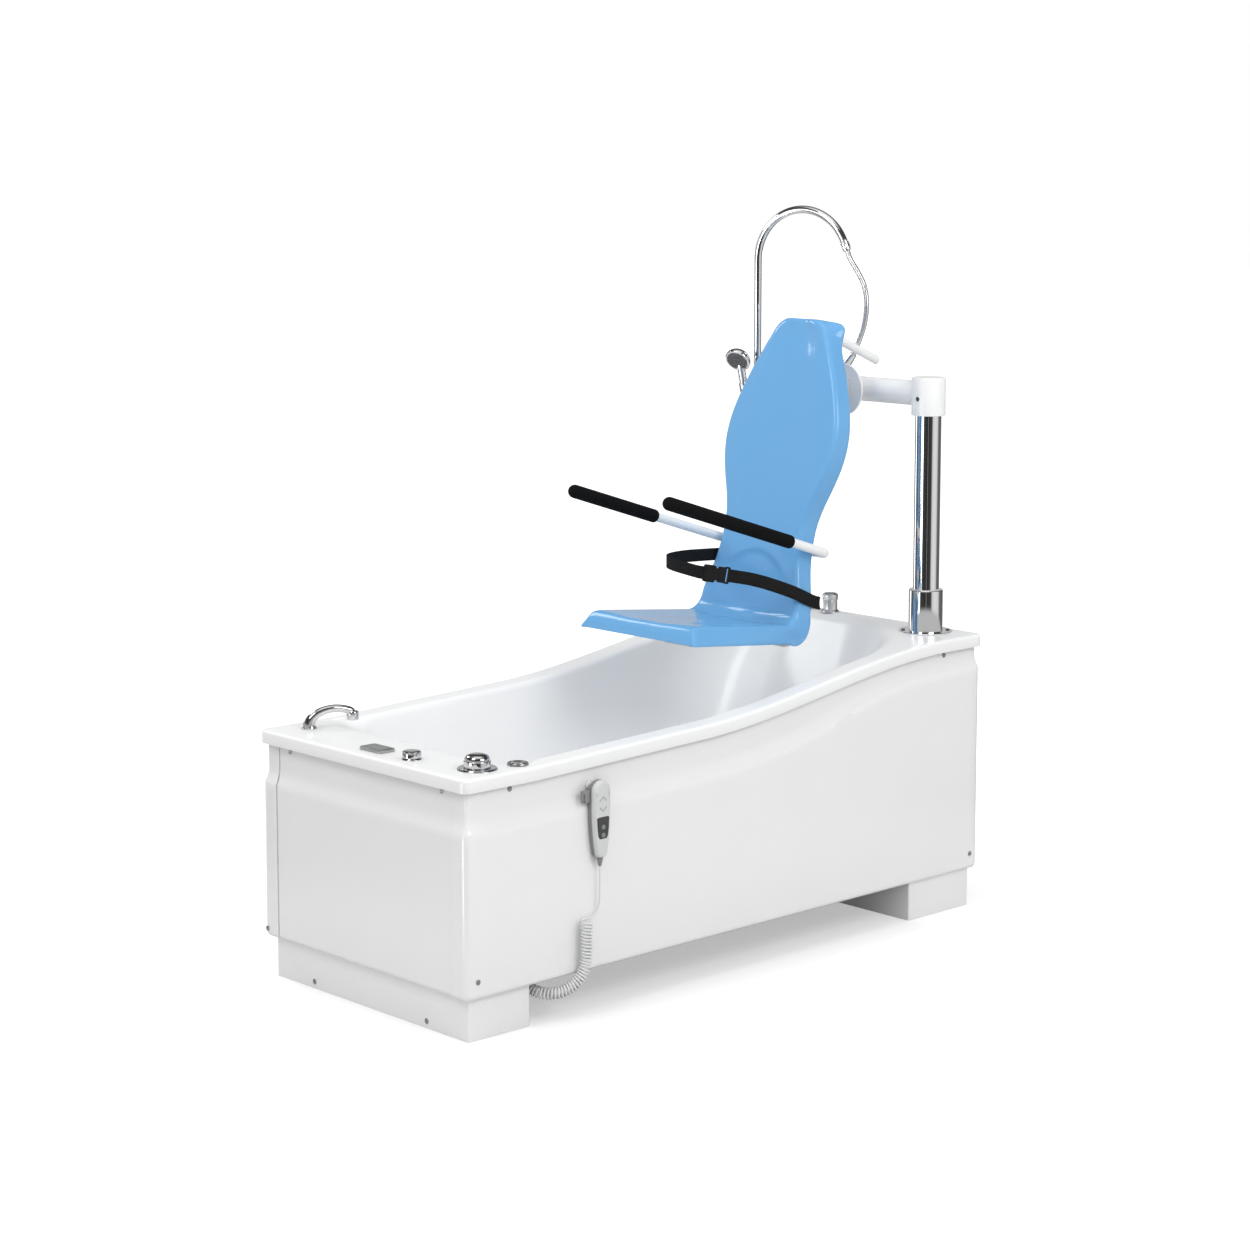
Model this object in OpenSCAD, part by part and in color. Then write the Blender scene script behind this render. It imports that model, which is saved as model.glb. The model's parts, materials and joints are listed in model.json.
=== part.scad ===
// Assisted bath with a lifting and swinging chair, hand shower and deck fittings.
// X runs from the foot end to the head end, Y from the front to the back, Z up from the floor.
// The origin is on the floor under the middle of the bath.

/* [Bath shell] */
// Length over the lip
bath_l = 2050; // [1950:1:2150]
// Width over the lip
bath_w = 892; // [870:1:940]
// Height of the deck at the foot end
foot_deck_z = 704; // [680:1:730]
// Height of the deck at the head end
head_deck_z = 842; // [820:1:870]
// Part of the rise that is spread evenly along the rim
slope_rise = 55; // [30:1:70]
// Distance from the lip's head end to the middle of the steep part of the rim
sweep_in = 700; // [625:1:775]
// Length of the steep part of the rim
sweep_l = 950; // [800:1:1100]
// Thickness of the moulded shell
shell_t = 6; // [5:0.5:8]
// Thickness of the deck
deck_t = 8; // [6:0.5:10]
// Height of the lip
lip_h = 37; // [30:1:45]
// Corner radius of the lip
lip_r = 26; // [15:1:40]
// Length of the flat deck at the foot end
foot_deck_l = 245; // [235:1:270]
// Width of the deck beside the basin
side_deck_w = 80; // [70:1:90]
// Length of deck left behind the basin at the head end
head_deck_l = 70; // [60:1:80]
// Height of the basin floor
floor_z = 300; // [290:1:310]
// Slope of the basin's side walls, as the inset at the floor
side_draft = 81; // [70:1:95]
// Slope of the basin's foot wall, as the inset at the floor
foot_draft = 60; // [30:1:90]
// Slope of the basin's head wall, as the inset at the floor
head_draft = 355; // [300:1:370]
// Fillet between the basin's floor and walls
floor_r = 70; // [50:1:90]

/* [Panels and plinths] */
// Thickness of the panels
panel_t = 5; // [4:0.5:6]
// Height of the panels' lower edge
panel_z = 117; // [105:1:125]
// Distance from the lip's face in to the side panels' face
panel_in = 6; // [5:0.5:9]
// Depth of the recess under the lip
recess_d = 12; // [8:1:14]
// Height over which the recess fades out
recess_h = 45; // [38:1:48]
// Drop from the rim to the fold at the foot end
fold_drop_foot = 148; // [130:1:160]
// Drop from the rim to the fold at the head end
fold_drop_head = 101; // [90:1:120]
// Radius of the panels' upright corners
panel_r = 20; // [18:1:24]
// Radius of the panels' lower edge
roll_r = 14; // [8:1:16]
// Length of the side panels' return on the end faces
return_l = 64; // [55:1:70]
// Length of the foot plinth
foot_plinth_l = 212; // [190:1:230]
// Length of the head plinth
head_plinth_l = 272; // [250:1:290]
// Distance from the lip's end in to the plinths
plinth_in = 31; // [28:1:40]
// Half width of the foot plinth
foot_plinth_w = 416; // [410:1:420]
// Half width of the head plinth
head_plinth_w = 424; // [414:1:425]
// Diameter of the panel screws' heads
screw_head_d = 15; // [10:0.5:16]
// Diameter of the panel screws' shanks
screw_d = 5; // [4:0.5:6]

/* [Underframe] */
// Side of the square frame tube
frame_s = 40; // [35:1:45]
// Height of the underside of the frame rails
rail_z = 135; // [130:1:145]
// Distance from the middle to each rail
rail_y = 375; // [368:1:378]
// Distance from the lip's ends to the legs
leg_in = 145; // [135:1:155]
// Diameter of the levelling feet
foot_d = 60; // [50:1:70]

/* [Column] */
// Distance from the lip's head end to the column
column_in = 97; // [93:1:100]
// Distance from the middle of the bath to the column, towards the front
column_y = 296; // [290:1:300]
// Diameter of the lift tube
lift_d = 79.5; // [76:0.5:82]
// Wall of the lift tube
lift_wall = 3; // [2:0.5:4]
// Diameter of the collar
collar_d = 104; // [100:1:110]
// Diameter of the collar's flange
flange_d = 163; // [155:1:170]
// Thickness of the collar's flange
flange_t = 4; // [3:0.5:6]
// Height of the collar over the deck
collar_h = 130; // [120:1:140]
// Diameter of the cap
cap_d = 103; // [98:1:110]
// Distance from the arm's middle down to the cap's underside
cap_drop = 64; // [60:1:68]
// Height of the cap
cap_h = 115; // [105:1:125]
// Diameter of the arm
arm_d = 76; // [70:1:80]
// Height of the arm over the seat's front edge
arm_up = 615; // [609:1:621]
// Travel of the lift
lift_travel = 500; // [450:1:500]
// Diameter of the actuator
actuator_d = 50; // [44:1:55]
// Diameter of the actuator's rod
rod_d = 25; // [20:1:28]

/* [Seat] */
// Distance from the column forward to the seat's front edge
seat_reach = 908; // [888:1:928]
// Height of the seat's front edge
seat_front_z = 951; // [945:1:960]
// Length of the pan up to the crease
pan_l = 425; // [410:1:440]
// Slope of the pan
pan_tilt = 6.2; // [4:0.1:8]
// Recline of the back
recline = 15; // [13:0.5:17]
// Radius of the crease between pan and back
crease_r = 45; // [40:1:60]
// Depth of the seat's turned edge
seat_edge = 54; // [48:1:60]
// Wall of the seat shell
seat_wall = 6; // [5:0.5:7]
// Half width of the pan at its front
pan_w = 222; // [215:1:228]
// Outline of the back, as distance from the crease and half width
back_shape = [[70, 200], [125, 184], [180, 170], [240, 163], [300, 164], [360, 178], [420, 200],
    [480, 218], [540, 226], [600, 222], [660, 207], [720, 185], [780, 159], [840, 129], [880, 104],
    [905, 80], [920, 54]];
// Diameter of the hub disc
disc_d = 160; // [150:1:170]
// Thickness of the hub disc
disc_t = 14; // [10:1:16]
// Diameter of the push handle
handle_d = 27; // [24:1:30]
// Slope of the push handle
handle_tilt = 22.4; // [20:0.1:24]

/* [Armrests] */
// Distance from the middle to the armrests
armrest_y = 198; // [196:1:206]
// Distance from the seat's front edge back to the armrests' pivot
armrest_in = 577; // [572:1:582]
// Height of the armrests' pivot over the seat's front edge
armrest_up = 150; // [145:1:155]
// Slope of the armrests
armrest_tilt = 17.5; // [15:0.5:20]
// Length from the pivot to the end of the tube
armrest_l = 700; // [680:1:715]
// Diameter of the armrest tube
armrest_d = 28; // [26:1:30]
// Wall of the armrest tube
armrest_wall = 2.5; // [2:0.5:3]
// Bend radius of the armrest tube
armrest_bend = 32; // [30:1:36]
// Diameter of the pivot pin
pivot_d = 20; // [18:1:21]
// Diameter of the foam grips
grip_d = 40; // [36:1:44]
// Length of the front armrest's grip
grip_front_l = 540; // [500:1:550]
// Length of the back armrest's grip
grip_back_l = 360; // [330:1:500]

/* [Belt] */
// Width of the webbing
belt_w = 38; // [34:1:42]
// Thickness of the webbing
belt_t = 2.4; // [2:0.1:3]
// Width of the buckle
buckle_w = 50; // [46:1:54]
// Thickness of the buckle
buckle_t = 12; // [9:1:14]

/* [Deck fittings] */
// Diameter of the mixer's cover plate
mixer_plate_d = 107; // [100:1:112]
// Diameter of the mixer's knob
mixer_d = 72; // [64:1:76]
// Height of the mixer's knob
mixer_h = 36; // [30:1:40]
// Length of the display
display_l = 92; // [85:1:100]
// Width of the display
display_w = 54; // [50:1:60]
// Diameter of the diverter
diverter_d = 50; // [46:1:54]
// Diameter of the push button's ring
button_ring_d = 58; // [54:1:62]
// Diameter of the push button
button_d = 40; // [34:1:44]
// Travel of the push button
button_travel = 3; // [2:0.5:3]
// Diameter of the spout's tube
spout_d = 22; // [20:1:24]
// Diameter of the head fitting
inlet_d = 50; // [46:1:54]

/* [Shower] */
// Diameter of the riser
riser_d = 24; // [20:1:26]
// Radius of the gooseneck
gooseneck_r = 160; // [150:1:165]
// Height at which the gooseneck starts
gooseneck_z = 1950; // [1930:1:1960]
// Diameter of the shower hose
hose_d = 16; // [14:1:16]
// Diameter of the handset's head
handset_d = 84; // [78:1:90]

/* [Hand control] */
// Width of the hand control
control_w = 62; // [58:1:66]
// Thickness of the hand control
control_t = 26; // [24:1:30]
// Height of the hand control
control_h = 212; // [200:1:214]
// Diameter of the keys
key_d = 13; // [11:1:14]
// Travel of the keys
key_travel = 1; // [0.8:0.1:1.2]
// Diameter of the cord
cord_d = 5.4; // [4.5:0.1:5.6]
// Outer diameter of the cord's curls
curl_d = 34; // [32:1:36]
// Number of curls
curls = 43; // [30:1:44]

/* [Hidden] */
$fn = 48;

// Running and seating gaps
gap = 0.3;
pin_gap = 0.05;
eps = 0.01;

// Overall places
hx = bath_l / 2;
hy = bath_w / 2;
column_x = hx - column_in;
sweep_x = hx - sweep_in;
leg_x = hx - leg_in;
seat_front_x = column_x - seat_reach;
armrest_x = seat_front_x + armrest_in;
armrest_z = seat_front_z + armrest_up;
arm_z = seat_front_z + arm_up;
cap_z = arm_z - cap_drop;
head_flat_l = 185;
foot_edge_x = -hx + foot_deck_l;
head_flat_x = hx - head_flat_l;
panel_y = hy - panel_in;
panel_x = hx - panel_in;
side_inner_y = panel_y - recess_d - panel_t;
end_set = 3;

function clamp01(t) = min(1, max(0, t));
function smooth(t) = let (u = clamp01(t)) u * u * (3 - 2 * u);
// Height of the rim along the bath
function rim_z(x) = foot_deck_z + slope_rise * clamp01((x - foot_edge_x) / (head_flat_x - foot_edge_x))
    + (head_deck_z - foot_deck_z - slope_rise) * smooth((x - sweep_x + sweep_l / 2) / sweep_l);
// Height of the fold in the side panels
fold_in = 875;
fold_start_x = hx - fold_in;
fold_sweep_l = 550;
function fold_z(x) = rim_z(x) - fold_drop_foot
    + (fold_drop_foot - fold_drop_head) * smooth((x - fold_start_x) / fold_sweep_l);

// Closed solid through rings with equal numbers of points, each ring anticlockwise about the way it goes
module loft(rings) {
    n = len(rings[0]);
    m = len(rings);
    walls = [for (i = [0:m - 2], j = [0:n - 1]) let (a = i * n + j, b = i * n + (j + 1) % n)
        each [[a, a + n, b], [a + n, b + n, b]]];
    ends = [[for (j = [0:n - 1]) j], [for (j = [n - 1:-1:0]) (m - 1) * n + j]];
    polyhedron([for (r = rings) each r], concat(walls, ends), convexity = 8);
}

// Rounded rectangle as a list of points
function round_rect(a, b, r, seg = 6) = [for (q = [[1, 1, 0], [-1, 1, 90], [-1, -1, 180], [1, -1, 270]])
    for (i = [0:seg]) let (t = q[2] + 90 * i / seg) [q[0] * (a - r) + r * cos(t), q[1] * (b - r)
        + r * sin(t)]];
module round_slab(a, b, r, h) {
    linear_extrude(h) polygon(round_rect(a, b, r));
}

// Band that follows the rim, from one depth under it to another
rim_steps = 34;
module rim_band(top, bottom) {
    xs = [for (i = [0:rim_steps]) -hx - 1 + (2 * hx + 2) * i / rim_steps];
    upper = [for (x = xs) [x, rim_z(x) - top]];
    lower = [for (i = [rim_steps:-1:0]) [xs[i], rim_z(xs[i]) - bottom]];
    translate([0, hy + 1, 0]) rotate([90, 0, 0]) linear_extrude(2 * hy + 2) polygon(concat(upper, lower));
}
module rim_ring(a, b, r, t, top, bottom) {
    intersection() {
        difference() {
            round_slab(a, b, r, head_deck_z + 1);
            translate([0, 0, -1]) round_slab(a - t, b - t, max(r - t, 2), head_deck_z + 3);
        }
        rim_band(top, bottom);
    }
}

// Basin, wide at the rim and drawn in to the floor, with its front head corner cut back for the column
corner_seg = 8;
foot_corner_r = 95;
far_corner_r = 150;
near_corner_a = 397;
near_corner_b = 440;
near_corner_n = 1.7;
function quarter(cx, cy, a, b, n, a0) = [for (i = [0:corner_seg])
    let (t = a0 + 90 * i / corner_seg, c = cos(t), s = sin(t))
    [cx + a * sign(c) * pow(abs(c), 2 / n), cy + b * sign(s) * pow(abs(s), 2 / n)]];
function basin_ring(z, inset, grow) =
    let (side = clamp01((foot_deck_z - z) / (foot_deck_z - floor_z)),
        head = clamp01((head_deck_z - z) / (head_deck_z - floor_z)),
        w = hy - side_deck_w - side_draft * side - inset + grow,
        xf = foot_edge_x + foot_draft * side + inset - grow,
        xh = hx - head_deck_l - head_draft * head - inset + grow,
        near = 1 - 0.45 * head)
    [for (p = concat(quarter(xh - far_corner_r, w - far_corner_r, far_corner_r, far_corner_r, 2, 0),
        quarter(xf + foot_corner_r, w - foot_corner_r, foot_corner_r, foot_corner_r, 2, 90),
        quarter(xf + foot_corner_r, -w + foot_corner_r, foot_corner_r, foot_corner_r, 2, 180),
        quarter(xh - near_corner_a * near, -w + near_corner_b * near, near_corner_a * near,
            near_corner_b * near, near_corner_n, 270))) [p[0], p[1], z]];
fillet_seg = 4;
module basin(grow) {
    base = floor_z - grow;
    r = floor_r + grow;
    fillet = [for (i = [0:fillet_seg]) let (t = 90 * i / fillet_seg)
        basin_ring(base + r * (1 - cos(t)), r * (1 - sin(t)), grow)];
    loft(concat(fillet, [for (z = [foot_deck_z, head_deck_z, head_deck_z + 30]) basin_ring(z, 0, grow)]));
}

// Places of the fittings on the decks, by their distance from the lip's foot end or head end
function from_foot(x, y) = [x - hx, y];
function from_head(x, y) = [hx - x, y];
spout_at = from_foot(106, 352);
display_at = from_foot(68, 0);
diverter_at = from_foot(65, -150);
mixer_at = from_foot(114, -359);
button_at = from_foot(225, -392);
inlet_at = from_head(38, 152);
riser_at = from_head(135, 386);
column_at = [column_x, -column_y];
waste_at = from_foot(435, 0);
// Points written from the column, and from the seat's front edge
function from_column(pts) = [for (p = pts) p + [column_x, 0, 0]];
function from_seat(pts) = [for (p = pts) p + [seat_front_x, 0, seat_front_z]];
plug_d = 46;
waste_flange_d = 70;
waste_bore_d = 50;
stem_d = 32;
small_stem_d = 20;
housing_d = 96;
batten_h = 62;
batten_t = 8;

module at(p, z = 0) {
    translate([p[0], p[1], z]) children();
}

module bath_shell() color("white") difference() {
    union() {
        intersection() {
            round_slab(hx, hy, lip_r, head_deck_z + 1);
            rim_band(0, deck_t);
        }
        rim_ring(hx, hy, lip_r, shell_t, 0, lip_h);
        rim_ring(panel_x - end_set - recess_d - panel_t - gap, side_inner_y - gap, 6, batten_t, 1,
            batten_h);
        intersection() {
            basin(shell_t);
            rim_band(1, head_deck_z);
        }
    }
    basin(0);
    at(waste_at, floor_z - shell_t - 1) cylinder(h = shell_t + 2, d = waste_bore_d + 2 * gap);
    at(column_at, head_deck_z - deck_t - 1) cylinder(h = deck_t + 2, d = housing_d + 2);
    for (p = [mixer_at, spout_at]) at(p, foot_deck_z - deck_t - 1) cylinder(h = deck_t + 2,
        d = stem_d + 2 * gap);
    for (p = [diverter_at, display_at, button_at])
        at(p, foot_deck_z - deck_t - 2) cylinder(h = deck_t + 6, d = small_stem_d + 2 * gap);
    for (p = [inlet_at, riser_at])
        at(p, head_deck_z - batten_h - 1) cylinder(h = batten_h + 2, d = small_stem_d + 2 * gap);
    screw_holes(screw_list);
}

// Section of a panel: inset from the outer face, and height
function panel_section(x, top_drop) =
    let (f = fold_z(x), top = rim_z(x) - top_drop,
        outer = concat([[roll_r, panel_z]],
            [for (t = [30, 60, 90]) [roll_r * (1 - sin(t)), panel_z + roll_r * (1 - cos(t))]],
            [for (k = [0:4]) [recess_d * (1 - pow(1 - k / 4, 2)), f + recess_h * k / 4]],
                [[recess_d, top]]),
        n = len(outer), inner = [for (i = [4:n - 1]) [outer[i][0] + panel_t, outer[i][1]]])
    concat([[roll_r, panel_z + panel_t], [panel_t, panel_z + roll_r]], inner,
        [for (i = [n - 1:-1:0]) outer[i]]);
panel_top = 12;
panel_steps = 22;
// Rings of a side panel that turns round both upright corners
function side_panel_rings() =
    let (a = panel_x, b = panel_y,
        turn = [for (t = [0, 30, 60, 90]) [a - panel_r + panel_r * sin(t),
            -b + panel_r - panel_r * cos(t), t]],
        head = concat(turn, [[a, -b + return_l, 90]]),
        foot = [for (i = [4:-1:0]) [-head[i][0], head[i][1], -head[i][2]]],
        run = [for (i = [1:panel_steps - 1]) let (l = 2 * (a - panel_r))
            [-a + panel_r + l * i / panel_steps, -b, 0]])
    [for (s = concat(foot, run, head)) [for (p = panel_section(s[0], panel_top))
        [s[0] - p[0] * sin(s[2]), s[1] + p[0] * cos(s[2]), p[1]]]];
module flat_y(w) {
    translate([0, w / 2, 0]) rotate([90, 0, 0]) linear_extrude(w) children();
}
seam = 1.5;
module end_panel(s) {
    flat_y(2 * (panel_y - return_l - seam))
        polygon([for (p = panel_section(s * hx, panel_top)) [s * (panel_x - end_set - p[0]), p[1]]]);
}

// Panel screws: place of the head's seat, and the angle its axis turns about Z from facing the front
upper_screw_y = 327;
upper_screw_in = 165;
upper_screw_x = hx - upper_screw_in;
low_screw_z = 165;
low_screw_in = 38;
return_screw_in = 16;
return_screw_drop = 26;
screw_drop = 49;
plinth_screw_y = 244;
plinth_screw_z = 20;
end_face_x = panel_x - end_set - recess_d;
side_face_y = panel_y - recess_d;
function screws_side(s) = concat([for (x = [-upper_screw_x, upper_screw_x])
    [x, s * side_face_y, rim_z(x) - screw_drop, s < 0 ? 0 : 180]],
    [for (x = [-1, 1]) [x * (panel_x - low_screw_in), s * panel_y, low_screw_z, s < 0 ? 0 : 180]],
    s < 0 ? [] : [for (x = [-1, 1]) [x * panel_x, panel_y - return_screw_in,
        low_screw_z - return_screw_drop, x < 0 ? -90 : 90]]);
function screws_end(s) = [for (y = [-upper_screw_y, upper_screw_y])
    [s * end_face_x, y, rim_z(s * hx) - screw_drop, s < 0 ? -90 : 90]];
function screws_plinth(s) = [for (y = [-plinth_screw_y, plinth_screw_y])
    [s * (hx - plinth_in), y, plinth_screw_z, s < 0 ? -90 : 90]];
screw_list = concat(screws_side(-1), screws_side(1), screws_end(-1), screws_end(1), screws_plinth(-1),
    screws_plinth(1));
screw_l = 12;
hole_past = 6;
screw_head_h = 3;
module screw_at(s, d, l) {
    translate([s[0], s[1], s[2]]) rotate([0, 0, s[3]]) rotate([-90, 0, 0]) cylinder(h = l, d = d,
        $fn = 24);
}
module screw_holes(list) {
    for (s = list) screw_at(s, screw_d + 2 * gap, screw_l + hole_past);
}
module panel_screws() color("silver") {
    for (s = screw_list) {
        screw_at(s, screw_d, screw_l);
        translate([s[0], s[1], s[2]]) rotate([0, 0, s[3]]) rotate([90, 0, 0])
            rotate_extrude($fn = 24) polygon([[0, 0], [screw_head_d / 2, 0], [screw_head_d / 2,
                screw_head_h / 3],
                [screw_head_d / 3, screw_head_h * 0.8], [0, screw_head_h]]);
    }
}

module front_panel() color("whitesmoke") difference() {
    loft(side_panel_rings());
    screw_holes(screws_side(-1));
}
module back_panel() color("whitesmoke") difference() {
    mirror([0, 1, 0]) loft(side_panel_rings());
    screw_holes(screws_side(1));
}
module foot_panel() color("gainsboro") difference() {
    end_panel(-1);
    screw_holes(screws_end(-1));
}
module head_panel() color("gainsboro") difference() {
    end_panel(1);
    screw_holes(screws_end(1));
}

// Plinths: open boxes under the rails
plinth_t = 4;
plinth_h = rail_z - gap;
module plinth(x0, x1, w) {
    difference() {
        translate([x0, -w, 0]) cube([x1 - x0, 2 * w, plinth_h]);
        translate([x0 + plinth_t, -w + plinth_t, -1])
            cube([x1 - x0 - 2 * plinth_t, 2 * (w - plinth_t), plinth_h + 2]);
        screw_holes(concat(screws_plinth(-1), screws_plinth(1)));
    }
}
module foot_plinth() color("whitesmoke")
    plinth(-hx + plinth_in, -hx + plinth_in + foot_plinth_l, foot_plinth_w);
module head_plinth() color("whitesmoke")
    plinth(hx - plinth_in - head_plinth_l, hx - plinth_in, head_plinth_w);

// Welded frame of square tube that carries the shell, the column and the plinths
cross_x = [-leg_x + 30, -250, 400, leg_x - 90];
post_in = 70;
post_x = hx - post_in;
post_s = 30;
pad_y = 150;
bracket_t = 10;
leg_z = 30;
stud_d = 16;
stud_in = 34;
socket_l = stud_in + 7;
foot_h = 10;
nut_h = 9;
nut_d = 26;
module box(c, s) {
    translate(c - s / 2) cube(s);
}
module underframe() color("dimgray") {
    difference() {
        union() {
            for (y = [-rail_y, rail_y])
                box([0, y, rail_z + frame_s / 2], [2 * post_x + post_s, frame_s, frame_s]);
            for (x = cross_x) box([x, 0, rail_z + frame_s / 2], [frame_s, 2 * rail_y, frame_s]);
            for (x = [-leg_x, leg_x], y = [-rail_y, rail_y])
                box([x, y, (leg_z + rail_z) / 2], [frame_s, frame_s, rail_z - leg_z]);
            for (x = [cross_x[1], cross_x[2]], y = [-pad_y, pad_y]) {
                h = floor_z - shell_t - gap - rail_z;
                box([x, y, rail_z + h / 2], [frame_s, frame_s, h]);
            }
            for (x = [-post_x, post_x], y = [-rail_y, rail_y]) {
                h = rim_z(x - post_s) - deck_t - gap - rail_z;
                box([x, y, rail_z + h / 2], [post_s, post_s, h]);
            }
            translate([cross_x[3], -rail_y, rail_z - bracket_t])
                cube([post_x - cross_x[3], rail_y - column_y + housing_d, bracket_t]);
        }
        for (x = [-leg_x, leg_x], y = [-rail_y, rail_y])
            translate([x, y, leg_z - 1]) cylinder(h = socket_l + 1, d = stud_d + 2 * gap);
    }
}
module levelling_feet() color("black") {
    for (x = [-leg_x, leg_x], y = [-rail_y, rail_y]) translate([x, y, 0]) {
        cylinder(h = foot_h, d1 = foot_d, d2 = foot_d - 14, $fn = 32);
        cylinder(h = leg_z + stud_in, d = stud_d);
        translate([0, 0, leg_z - nut_h]) cylinder(h = nut_h - gap, d = nut_d);
    }
}

// Waste: flanged outlet through the floor, pop-up plug and bottle trap
waste_t = 3;
outlet_h = 60;
outlet_wall = 4;
arm_w = 4;
arm_h = 6;
arm_drop = 42;
plug_stem_d = 8;
plug_stem_l = 34;
guide_drop = 20;
guide_h = 4;
module waste_outlet() color("silver") at(waste_at) difference() {
    union() {
        translate([0, 0, floor_z]) cylinder(h = waste_t, d = waste_flange_d);
        translate([0, 0, floor_z - outlet_h]) cylinder(h = outlet_h + 1, d = waste_bore_d);
    }
    translate([0, 0, floor_z - outlet_h - 1]) 
        cylinder(h = outlet_h + waste_t + 2, d = waste_bore_d - 2 * outlet_wall);
    translate([0, 0, floor_z - 1]) cylinder(h = waste_t + 2, d = plug_d + 2 * gap);
    for (a = [0, 90]) rotate([0, 0, a]) translate([-waste_bore_d, -arm_w / 2, floor_z - arm_drop])
        cube([waste_bore_d * 2, arm_w, arm_h]);
}
module waste_plug() color("gainsboro") at(waste_at) {
    translate([0, 0, floor_z]) cylinder(h = waste_t, d = plug_d);
    translate([0, 0, floor_z - plug_stem_l]) cylinder(h = plug_stem_l + 1, d = plug_stem_d);
    translate([0, 0, floor_z - guide_drop])
        cylinder(h = guide_h, d = waste_bore_d - 2 * outlet_wall - 2 * gap - 6);
}
reach_in = 1;
thinner = 0.1;
// Bend of a tube, a trace thinner than the straight runs that it reaches into
module elbow(r, d, angle) {
    rotate([0, 0, -reach_in]) rotate_extrude(angle = angle + 2 * reach_in, $fn = 72)
        translate([r, 0]) circle(d = d - thinner, $fn = 32);
}
// The trap's outlet turns down to a spigot under a shoulder, so that a floor pipe slides on from below
trap_d = 80;
trap_up = 20;
trap_down = 90;
trap_wall = 6;
outlet_drop = 25;
drain_d = 40;
drain_wall = 3;
drain_out = 155;
drain_bend = 28;
drain_z = 120;
drain_l = 60;
shoulder_h = 5;
module drain_way(d) {
    x = waste_at[0] - drain_out;
    z = floor_z - outlet_h - outlet_drop;
    translate([x + drain_bend, 0, z]) rotate([0, 90, 0]) cylinder(h = drain_out - drain_bend, d = d);
    translate([x + drain_bend, 0, z - drain_bend]) rotate([90, 0, 0]) rotate([0, 0, 90])
        elbow(drain_bend, d, 90);
    translate([x, 0, drain_z]) cylinder(h = z - drain_bend - drain_z, d = d);
}
module waste_trap() color("gray") {
    z = floor_z - outlet_h;
    difference() {
        union() {
            at(waste_at, z - trap_down) cylinder(h = trap_down + trap_up, d = trap_d);
            drain_way(drain_d);
            translate([waste_at[0] - drain_out, 0, drain_z + drain_l]) cylinder(h = shoulder_h,
                d = drain_d + 8);
        }
        at(waste_at, z - gap) cylinder(h = outlet_h, d = waste_bore_d + 2 * gap);
        at(waste_at, z - trap_down + trap_wall) cylinder(h = trap_down + trap_up, d = waste_bore_d - 4);
        drain_way(drain_d - 2 * drain_wall);
        translate([waste_at[0] - drain_out, 0, drain_z - 1]) cylinder(h = 2, d = drain_d - 2 * drain_wall);
    }
}

// Tubes along a path of points
function cross3(a, b) = [a[1] * b[2] - a[2] * b[1], a[2] * b[0] - a[0] * b[2], a[0] * b[1] - a[1] * b[0]];
function unit3(v) = v / norm(v);
function way(pts, i) = unit3(pts[min(i + 1, len(pts) - 1)] - pts[max(i - 1, 0)]);
// Point on a smooth curve through four points
function curve_at(a, b, c, d, t) = 0.5 * (2 * b + (c - a) * t + (2 * a - 5 * b + 4 * c - d) * t * t
    + (3 * b - a - 3 * c + d) * t * t * t);
function smooth_path(p, k) = let (n = len(p) - 1) concat([for (i = [0:n - 1], j = [0:k - 1])
    curve_at(p[max(i - 1, 0)], p[i], p[i + 1], p[min(i + 2, n)], j / k)], [p[n]]);
// Frames that turn with the path and never twist
function carry(pts, u, i) = i >= len(pts) ? [] :
    let (t = way(pts, i), v = unit3(u - (u * t) * t)) concat([v], carry(pts, v, i + 1));
function tube_rings(pts, r, sides, u0) = let (us = carry(pts, u0, 0))
    [for (i = [0:len(pts) - 1]) let (u = us[i], w = cross3(way(pts, i), u))
        [for (j = [0:sides - 1]) let (a = 360 * j / sides) pts[i] + r * (cos(a) * u + sin(a) * w)]];
module tube(pts, d, sides, u0) {
    loft(tube_rings(pts, d / 2, sides, u0));
}

// Filler spout: a low arch from a wide foot on the deck, turned a little towards the front
spout_turn = -22;
spout_nozzle_d = 34;
spout_nozzle_z = 17;
spout_nozzle_h = 25;
spout_foot_d = 40;
spout_line = [[0, 0, 3], [0, 0, 12], [7, 0, 27], [23, 0, 40], [48, 0, 49], [74, 0, 52], [98, 0, 49],
    [117, 0, 42],
    [125, 0, 32]];
spout_swell = [1.8, 1.55, 1.3, 1.15, 1.05, 1, 1, 1.1, 1.15];
module bath_spout() color("silver") at(spout_at, foot_deck_z) rotate([0, 0, spout_turn]) {
    line = smooth_path(spout_line, 2);
    swell = [for (i = [0:len(line) - 1]) let (k = floor(i / 2), m = min(k + 1, len(spout_swell) - 1))
        i % 2 == 0 ? spout_swell[k] : (spout_swell[k] + spout_swell[m]) / 2];
    us = carry(line, [0, 1, 0], 0);
    loft([for (i = [0:len(line) - 1]) let (u = us[i], w = cross3(way(line, i), u),
        r = swell[i] * spout_d / 2)
        [for (j = [0:15]) let (t = 22.5 * j) line[i] + r * (cos(t) * u + sin(t) * w)]]);
    cylinder(h = 4, d = spout_foot_d + 4);
    translate([0, 0, -40]) cylinder(h = 41, d = stem_d);
    translate([spout_line[8][0], 0, spout_nozzle_z]) cylinder(h = spout_nozzle_h, d = spout_nozzle_d);
}
display_t = 9;
module display_panel() color("slategray") at(display_at, foot_deck_z) {
    difference() {
        round_slab(display_w / 2, display_l / 2, 8, display_t);
        translate([0, 0, display_t - 2]) round_slab(display_w / 2 - 9, display_l / 2 - 14, 3, 4);
    }
    translate([0, 0, -deck_t - 6]) cylinder(h = deck_t + 7, d = small_stem_d);
}

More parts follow.
